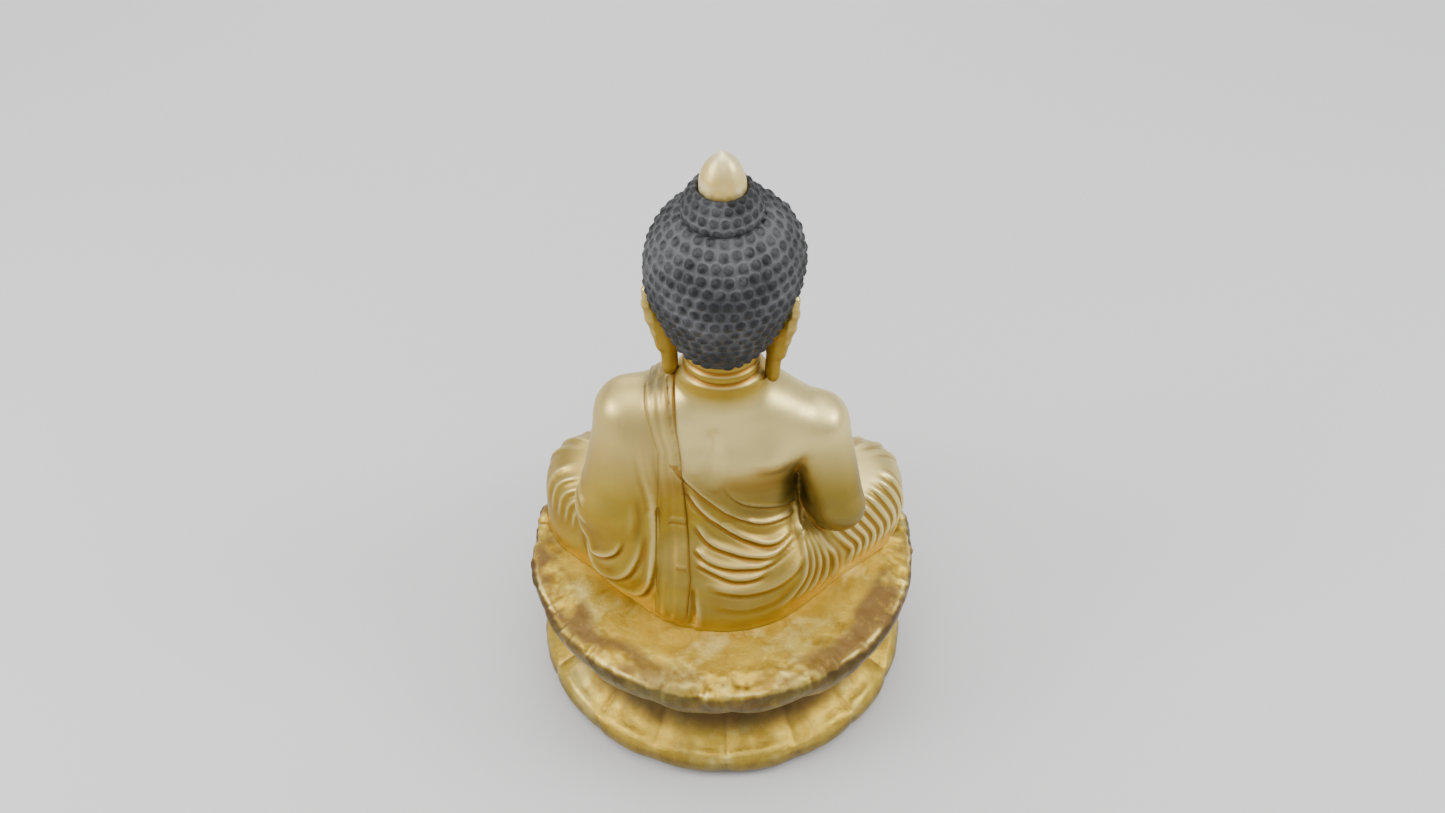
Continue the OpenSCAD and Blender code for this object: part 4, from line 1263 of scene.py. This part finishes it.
def make_ear(side, word):
    """A long ear that stands out from the head, with its rim, hollow and drawn-out lobe. It is modelled
    flat, as (thickness, width, height), then bent to the head."""
    f = Field((-8, -14, 254), (9, 16, 338), 0.6)
    f.chain([((0, 0, 322), (2.2, 9, 10)), ((0, 0, 306), (2.4, 8, 8)), ((-0.4, -0.5, 290), (2.4, 6.0, 9)),
             ((0, 0, 268.5), (3.2, 5.6, 8))], 4)
    f.chain([((1, -8.4, 314), 1.8), ((1.4, -8.6, 323), 2.0), ((2, -4.5, 331), 2.2), ((2.2, 2, 332.5), 2.3),
             ((2.4, 8, 328.5), 2.3), ((2.2, 9.6, 319), 2.2), ((1.6, 8.6, 307), 2.1), ((1, 6.6, 296), 2.0),
             ((0.6, 5.2, 284), 2.2)], 2.5)
    f.chain([((1.8, 0, 327.5), 1.4), ((2, 3.4, 318), 1.5), ((1.4, 2, 306), 1.5)], 2)
    f.sweep((3.4, -3, 315), (3.2, 4, 5.5), (3, -3, 307), (2.6, 3, 3.4), 1.5, cut=True)
    f.sweep((1.4, -8.2, 310), (1.7, 1.9, 3), k=1.5)
    f.sweep((2.8, 0, 284), (1.3, 1.2, 6), (3, 0, 273), (1.3, 1.4, 3), 1.2, cut=True)
    f.sweep((-4, -4, 322), (4, 4, 8), (-4.5, -5, 302), (3.4, 3, 9), 4)
    points, faces = f.mesh()
    points = smoothed(points, faces, 9)
    thick, width, z = points.T
    flare = np.radians(np.interp(z, [262, 285, 305, 330], [52, 50, 44, 30]))
    x = np.interp(z, [262, 275, 290, 310, 332], [30.6, 31.4, 33, 35.6, 37.6])
    y = np.interp(z, [262, 300, 332], [8.5, 6.5, 5.5])
    points = np.stack([side * (x + thick * np.cos(flare) + width * np.sin(flare)),
                       y - thick * np.sin(flare) + width * np.cos(flare), z], axis=1)
    if side == RIGHT:
        faces = faces[:, ::-1]
    # Painted light on the ear: a highlight along its outer rim, painted shade along its inner edge from
    # halfway up, and the whole ear darkened a little more as painted shade
    rim = 0.30 * smoothstep(width, 5.5, 9) - 0.20 * smoothstep(-width, -5, 0) * smoothstep(z, 285, 300)
    cavity = np.clip(cavity_of(points, faces, 12, 0.9) - 0.15 + rim, 0, 1)
    add_skin(f"carved_{word}_ear", turned(points), faces, cavity, word + "_ear")


def add_skin(name, points, faces, cavity, node):
    """A gilded piece of bare skin that stands for one CAD node."""
    piece = make_object(name, points, faces, MATERIALS["skin"], plain_looks(points, cavity=cavity))
    stand_for(piece, "figure", "skin_gold", node)


# ---------------------------------------------------------------- hair


# The height of a curl, the hair's radius over the skull, how far round from the crown it keeps that radius,
# and how steeply its front edge rises
CURL = 1.9
HAIR_R = 44.4
NAPE = math.radians(108)
HAIRLINE = math.radians(43)


def hair_outline(s):
    """(radius, height) at a length s down the hair's base outline from the pole."""
    end = HAIR_R * NAPE
    a = np.minimum(s, end) / HAIR_R
    down = np.maximum(s - end, 0)
    tilt = math.radians(18)
    return HAIR_R * np.sin(a) - down * math.sin(tilt), SKULL[2] + HAIR_R * np.cos(a) - down * math.cos(tilt)


def hairline(y, z):
    """How far a place lies behind the hairline's plane, which rises from the nape to the forehead."""
    return (y + 40) * math.cos(HAIRLINE) + (z - 362) * math.sin(HAIRLINE)


def hair_side(points):
    return hairline(points[..., 1], points[..., 2])


def curl_centres():
    """Places of the curls on the skull: rows down to the nape, and one row along the hairline."""
    curl_width, row_height, edge_width = 7.5, 7.2, 6.9
    rows = []
    s, row = HAIR_R * math.radians(35), 0
    while s < HAIR_R * NAPE + 46:
        r, z = hair_outline(s)
        count = max(8, round(2 * math.pi * r / curl_width))
        a = (np.arange(count) + 0.5 * (row % 2)) * 2 * math.pi / count
        rows.append(np.stack([r * np.sin(a), -r * np.cos(a), np.full(count, z)], axis=1))
        s += row_height
        row += 1
    inner = np.concatenate(rows)
    inner = inner[hair_side(inner) > 4.2]
    edge = []
    for a in np.linspace(-math.pi, math.pi, 1441):
        lengths = np.linspace(20, HAIR_R * NAPE + 48, 208)
        r, z = hair_outline(lengths)
        p = np.stack([r * math.sin(a), -r * math.cos(a), z], axis=1)
        behind = hair_side(p) > 1.2
        if not behind.all():
            edge.append(p[behind.argmin() - 1])
    edge = np.array(edge)
    length = np.concatenate([[0], np.cumsum(np.linalg.norm(np.diff(edge, axis=0), axis=1))])
    t = np.linspace(0, length[-1], round(length[-1] / edge_width))
    edge = np.stack([np.interp(t, length, edge[:, i]) for i in range(3)], axis=1)
    gap = np.linalg.norm(inner[:, None] - edge[None], axis=2).min(axis=1)
    return np.concatenate([inner[gap > 4.7], edge])


def curl_heights(points, normals, centres, size, depth):
    """Raises each point as part of the snail-shell curl whose centre is nearest."""
    heights, shade = np.zeros(len(points)), np.zeros(len(points))
    for start in range(0, len(points), 4000):
        p, n = points[start:start + 4000], normals[start:start + 4000]
        offset = p[:, None] - centres[None]
        flat = (offset**2).sum(axis=2)
        order = np.argpartition(flat, 3, axis=1)[:, :4]
        offset = np.take_along_axis(offset, order[..., None], axis=1)
        east = np.stack([-n[:, 1], n[:, 0], np.zeros(len(n))], axis=1)
        east /= np.maximum(np.linalg.norm(east, axis=1), 1e-6)[:, None]
        north = np.cross(n, east)
        u = (offset * east[:, None]).sum(axis=2)
        v = (offset * north[:, None]).sum(axis=2)
        low = smoothstep(-p[:, 2], -318, -300)[:, None] * (p[:, 1] > 0)[:, None]
        d = np.hypot(u * (1 - 0.38 * low), v)
        first = d.argmin(axis=1)
        rows = np.arange(len(p))
        d1, u1, v1 = d[rows, first], u[rows, first], v[rows, first]
        d[rows, first] = 1e3
        edge = 0.5 * (d.min(axis=1) - d1)
        dome = np.sqrt(np.clip(1 - (d1 / (1.10 * size)) ** 2, 0, 1))
        spiral = 0.5 + 0.5 * np.cos(2 * math.pi * d1 / (0.62 * size) + np.arctan2(v1, u1))
        ring = smoothstep(d1, 0.15 * size, 0.4 * size) * smoothstep(-d1, -0.95 * size, -0.7 * size)
        rise = dome * (1 - np.exp(-np.maximum(edge, 0) / (0.30 * size)))
        heights[start:start + 4000] = depth * (rise - 0.16 * spiral * ring * (1 - 0.7 * low[:, 0]))
        shade[start:start + 4000] = 0.5 * rise + 0.5 * smoothstep(-d1, -1.1 * size, -0.6 * size)
    return heights, shade


def make_hair_cap():
    f = Field((-50, -60, 276), (50, 50, CROWN_Z + 8), 0.66)
    f.sweep(SKULL, HAIR_R)
    f.sweep((-2, -9, 344), (HAIR_R, 46.5, 37.5), k=6)
    for i in range(26):
        r, z = hair_outline(HAIR_R * math.radians(100) + i * 2)
        f.sweep((0, 0, float(z)), (float(r), float(r), 7), k=3)
    _, y, z = f.grid()
    f.d = -smooth_min(-f.d, y + 46, 7)
    f.d = -smooth_min(-f.d, hairline(y, z), 1.6)
    points, faces = f.mesh()
    points = smoothed(points, faces, 2)
    normals = normals_of(points, faces)
    centres = curl_centres()
    centres = centres + np.stack([noise(centres, 5, seed) for seed in (101, 102, 103)], axis=1) * 0.9
    centres = Carver(points, faces).on_surface(centres)
    heights, shade = curl_heights(points, normals, centres, 3.7, CURL)
    radial = np.hypot(points[:, 0], points[:, 1])
    outside = smoothstep(np.hypot(radial, np.maximum(points[:, 2] - SKULL[2], 0)), 28, 32)
    cut_face = (normals @ np.array([0, -math.cos(HAIRLINE), -math.sin(HAIRLINE)])) > 0.93
    points = points + normals * (heights * outside * ~cut_face)[:, None]
    under_bun = np.hypot(points[:, 0], points[:, 1]) < 24.5
    points[:, 2] = np.minimum(points[:, 2], np.where(under_bun, CROWN_Z, CROWN_Z + 2))
    looks = {"curl": shade, "cavity": cavity_of(points, faces, 8, 0.7)}
    piece = make_object("curled_hair", turned(points), faces, MATERIALS["hair"], looks)
    stand_for(piece, "figure", "hair_paint", "hair_cap")


def make_ushnisha():
    """The curled dome on the crown, hollowed on top for the finial."""
    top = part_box("ushnisha")[1][2] / MM
    around = 300
    skin = outline_through([(22.3, CROWN_Z + 0.2), (22.9, CROWN_Z + 5), (21.0, 390), (17.8, 395.6),
                            (15.6, top - 1.2)], 46)
    finial_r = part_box("finial")[1][0] / MM
    outline = [(0, CROWN_Z + 0.1), (21.6, CROWN_Z + 0.1), *skin, (finial_r + 0.5, top - 1.6),
               (finial_r + 0.3, top - 3), (0, top - 3)]
    points, faces = turn_outline(outline, around)
    normals = normals_of(points, faces[0])
    centres = []
    curl_rows = ((23.1, CROWN_Z + 2.8), (22.2, CROWN_Z + 9), (19.0, 394), (15.9, top - 1.6))
    for row, (r, z) in enumerate(curl_rows):
        count = round(2 * math.pi * r / 6.6)
        a = (np.arange(count) + 0.5 * (row % 2)) * 2 * math.pi / count
        centres.append(np.stack([r * np.cos(a), r * np.sin(a), np.full(count, z)], axis=1))
    heights, shade = curl_heights(points, normals, np.concatenate(centres), 3.3, 1.5)
    m = len(outline) - 2
    skin_only = np.append(np.tile((np.arange(m) >= 1) & (np.arange(m) < m - 2), around), [False, False])
    points = points + normals * (heights * skin_only)[:, None]
    points[:, 2] = np.clip(points[:, 2], CROWN_Z + 0.05, top - 0.1)
    looks = {"curl": shade, "cavity": cavity_of(points, faces[0], 6, 0.6)}
    piece = make_object("curled_ushnisha", points, faces, MATERIALS["hair"], looks)
    stand_for(piece, "figure", "hair_paint", "ushnisha")


def turn_outline(outline, around):
    """Points and faces of a closed form turned from an outline that begins and ends on its axis."""
    angle = np.linspace(0, 2 * math.pi, around, endpoint=False)[:, None]
    ring = np.array(outline[1:-1])
    r, z = ring[None, :, 0], ring[None, :, 1]
    points = ring_points(r, z, angle).reshape(-1, 3)
    m = len(ring)
    faces = sheet_faces(around, m, wrap=True)[:, ::-1]
    i = np.arange(around)
    k = (i + 1) % around
    points = np.concatenate([points, [(0, 0, outline[0][1]), (0, 0, outline[-1][1])]])
    tip = len(points) - 1
    ends = np.concatenate([np.stack([np.full(around, tip - 1), k * m, i * m], axis=1),
                           np.stack([np.full(around, tip), i * m + m - 1, k * m + m - 1], axis=1)])
    return points, [faces, ends]


def make_finial():
    """A blunt pointed bud, slightly uneven under its gilding."""
    low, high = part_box("ushnisha")[1][2] / MM - 3, FINIAL_TOP
    height, radius = high - low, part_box("finial")[1][0] / MM
    t = np.linspace(0, 1, 44)
    depth = height * (1 - t) ** 1.4
    swell = [radius * math.sin(math.pi / 2 * (d / height) ** 0.63) for d in depth]
    outline = [(0, low + 0.1)] + [(r, high - d) for r, d in zip(swell, depth)]
    outline[-1] = (0, high)
    points, faces = turn_outline(outline, 120)
    normals = points - np.array((0, 0, low + 6))
    normals /= np.linalg.norm(normals, axis=1)[:, None]
    dent = 0.22 * noise(points, 7, 81, 2) - 0.12
    points = points + normals * dent[:, None]
    points[:, 2] = np.minimum(points[:, 2], FINIAL_TOP)
    looks = plain_looks(points, cavity=np.clip(0.64 + 0.3 * noise(points, 10, 91, 2), 0, 1))
    piece = make_object("gilded_finial", points, faces, MATERIALS["finial"], looks)
    stand_for(piece, "finial", "finial_gold", "finial")


def make_urna():
    t = np.linspace(0, math.pi / 2, 10)
    outline = [(0, 40.2)] + [(2.4 * math.cos(a), 40.9 + 1.5 * math.sin(a)) for a in t]
    points, faces = turn_outline([outline[0], (2.4, 40.2)] + outline[1:], 40)
    tilt = math.radians(74)
    x, y, z = points.T
    y, z = y * math.cos(tilt) - z * math.sin(tilt), SKULL[2] + y * math.sin(tilt) + z * math.cos(tilt)
    points = np.stack([x, y, z], axis=1)
    add_skin("gilded_urna", turned(points), faces, np.full(len(points), 0.75), "urna")


# ---------------------------------------------------------------- hands and foot


def make_hand(s, word, level):
    """An open hand, palm up in the lap, its thumb tip raised to meet the other's. s is LEFT or RIGHT."""
    f = Field((-42, -84, level - 14), (42, -34, level + 22), 0.68)
    f.chain([((s * 33, -45, level), (8, 9, 7.2)), ((s * 22, -54, level - 0.5), (9, 10, 6.2)),
             ((s * 6, -61, level - 1), (10, 12.5, 5.2))], 4)
    f.sweep((s * 15, -52, level + 2), (8, 5.5, 4.5), k=4)
    for i in range(4):
        y = -51.5 - i * 6.3
        reach = (27, 30, 28, 23)[i]
        r = (3.5, 3.6, 3.5, 3.1)[i]
        f.chain([((s * 4, y - 0.4, level - 0.4), r + 0.4), ((-s * 9, y - 0.3, level + 0.2), r),
                 ((-s * (reach - 9), y + 0.4, level - 0.2), r - 0.3),
                 ((-s * reach, y + 1, level - 1.2), r - 0.8)], 1.3)
    f.chain([((s * 21, -50, level + 3), 5), ((s * 13, -50.5, 158 if s == RIGHT else 155), 3.9),
             ((s * 4.1, -54, 162), 3.1)], 2)
    f.sweep((s * 3, -62, level + 5.4), (9, 8, 2.6), k=3, cut=True)
    points, faces = f.mesh()
    points = smoothed(points, faces, 1)
    c = Carver(points, faces)
    palm = level + 5
    c.stroke([(s * 9, -52, palm), (s * 6, -58, palm), (s * 11, -66, palm)], -0.4, 0.7, taper=(0.2, 0.3))
    c.stroke([(s * 0, -56, palm), (s * 3, -62, palm), (s * 2, -70, palm)], -0.4, 0.7, taper=(0.2, 0.3))
    for i in range(4):
        y = -51.5 - i * 6.3
        for x in (7, 17):
            c.stroke([(-s * x, y - 3, palm), (-s * x, y, palm), (-s * x, y + 3, palm)], -0.35, 0.6,
                     taper=(0.2, 0.2))
    points = c.result()
    add_skin(f"carved_{word}_hand", points, faces, cavity_of(points, faces, 12, 0.7), word + "_hand")


def make_foot():
    """The right foot, sole up on the left thigh, its toes to the left."""
    f = Field((30, -80, 126), (108, -14, 158), 0.7)
    f.chain([((44, -55, 139), (12, 9.5, 7.6)), ((58, -49, 140), (11, 8.5, 6.8)),
             ((74, -41, 141), (10, 12, 6.4))], 5)
    f.sweep((60, -43.5, 147.5), (12, 5, 3.2), k=5, cut=True)
    for i in range(5):
        along = (87, 90, 90.5, 89, 86)[i]
        y = -53 + i * 6.0
        r = (4.7, 3.5, 3.3, 3.1, 2.8)[i]
        f.chain([((76, y * 0.82 - 8.4 + i * 0.4, 141.6), (7, 4, 4.6)),
                 ((along - r, y + 3, 142.4), (r + 1.4, r * 0.92, r))], 1.4)
    points, faces = f.mesh()
    points = smoothed(points, faces, 2)
    c = Carver(points, faces)
    c.stroke([(50, -50, 147), (60, -47, 147), (70, -44, 147)], -0.4, 1.0, taper=(0.3, 0.3))
    points = c.result()
    add_skin("carved_right_foot", points, faces, cavity_of(points, faces, 12, 0.8), "right_foot")


# ---------------------------------------------------------------- materials and run


def finish_frame_nodes():
    """The hidden joinery and fittings keep their CAD shapes and get their own finishes."""
    for name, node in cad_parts.items():
        for word, material in NODE_LOOKS:
            if word in name:
                node.data.materials.clear()
                node.data.materials.append(MATERIALS[material])
                break


NODE_LOOKS = (("dowel", "wood"), ("seat_pegs", "wood"), ("base_plate", "wood"), ("figure_base_board", "wood"),
              ("clamp", "iron"), ("screw", "steel"), ("tie_", "steel"), ("pad", "felt"))

# The gold's own colour, the pale of its painted highlights, and the orange ochre of its painted shade in the
# creases
GOLD = ((0.385, 0.26, 0.028), (0.85, 0.71, 0.31), (0.36, 0.145, 0.006))
FINIAL_GOLD = ((0.78, 0.62, 0.22), (0.97, 0.90, 0.62), (0.62, 0.36, 0.05))

MATERIALS = {
    "robe": satin_gold("robe_leaf", *GOLD, 0.35),
    "skin": satin_gold("skin_leaf", *GOLD, 0.35),
    "finial": satin_gold("finial_leaf", *FINIAL_GOLD, 0.2, 0.55),
    "leaf": rough_gold(),
    "hair": painted_hair(),
    "wood": planed_wood(),
    "steel": brushed_metal("zinc_steel", (0.62, 0.63, 0.65), 0.3),
    "iron": brushed_metal("forged_iron", (0.12, 0.11, 0.105), 0.5),
    "felt": pressed_felt(),
}
make_camera()
make_studio()
carved = make_body()
make_shawl(carved)
make_hem(carved)
make_lotus()
make_seat()
make_head(carved)
for side, word in SIDES:
    make_ear(side, word)
make_hair_cap()
make_ushnisha()
make_finial()
make_urna()
make_hand(RIGHT, "right", 151)
make_hand(LEFT, "left", 139)
make_foot()
finish_frame_nodes()

for box in (cad_box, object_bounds()):
    json.dumps([[float(v) for v in corner] for corner in box]) + "\n"
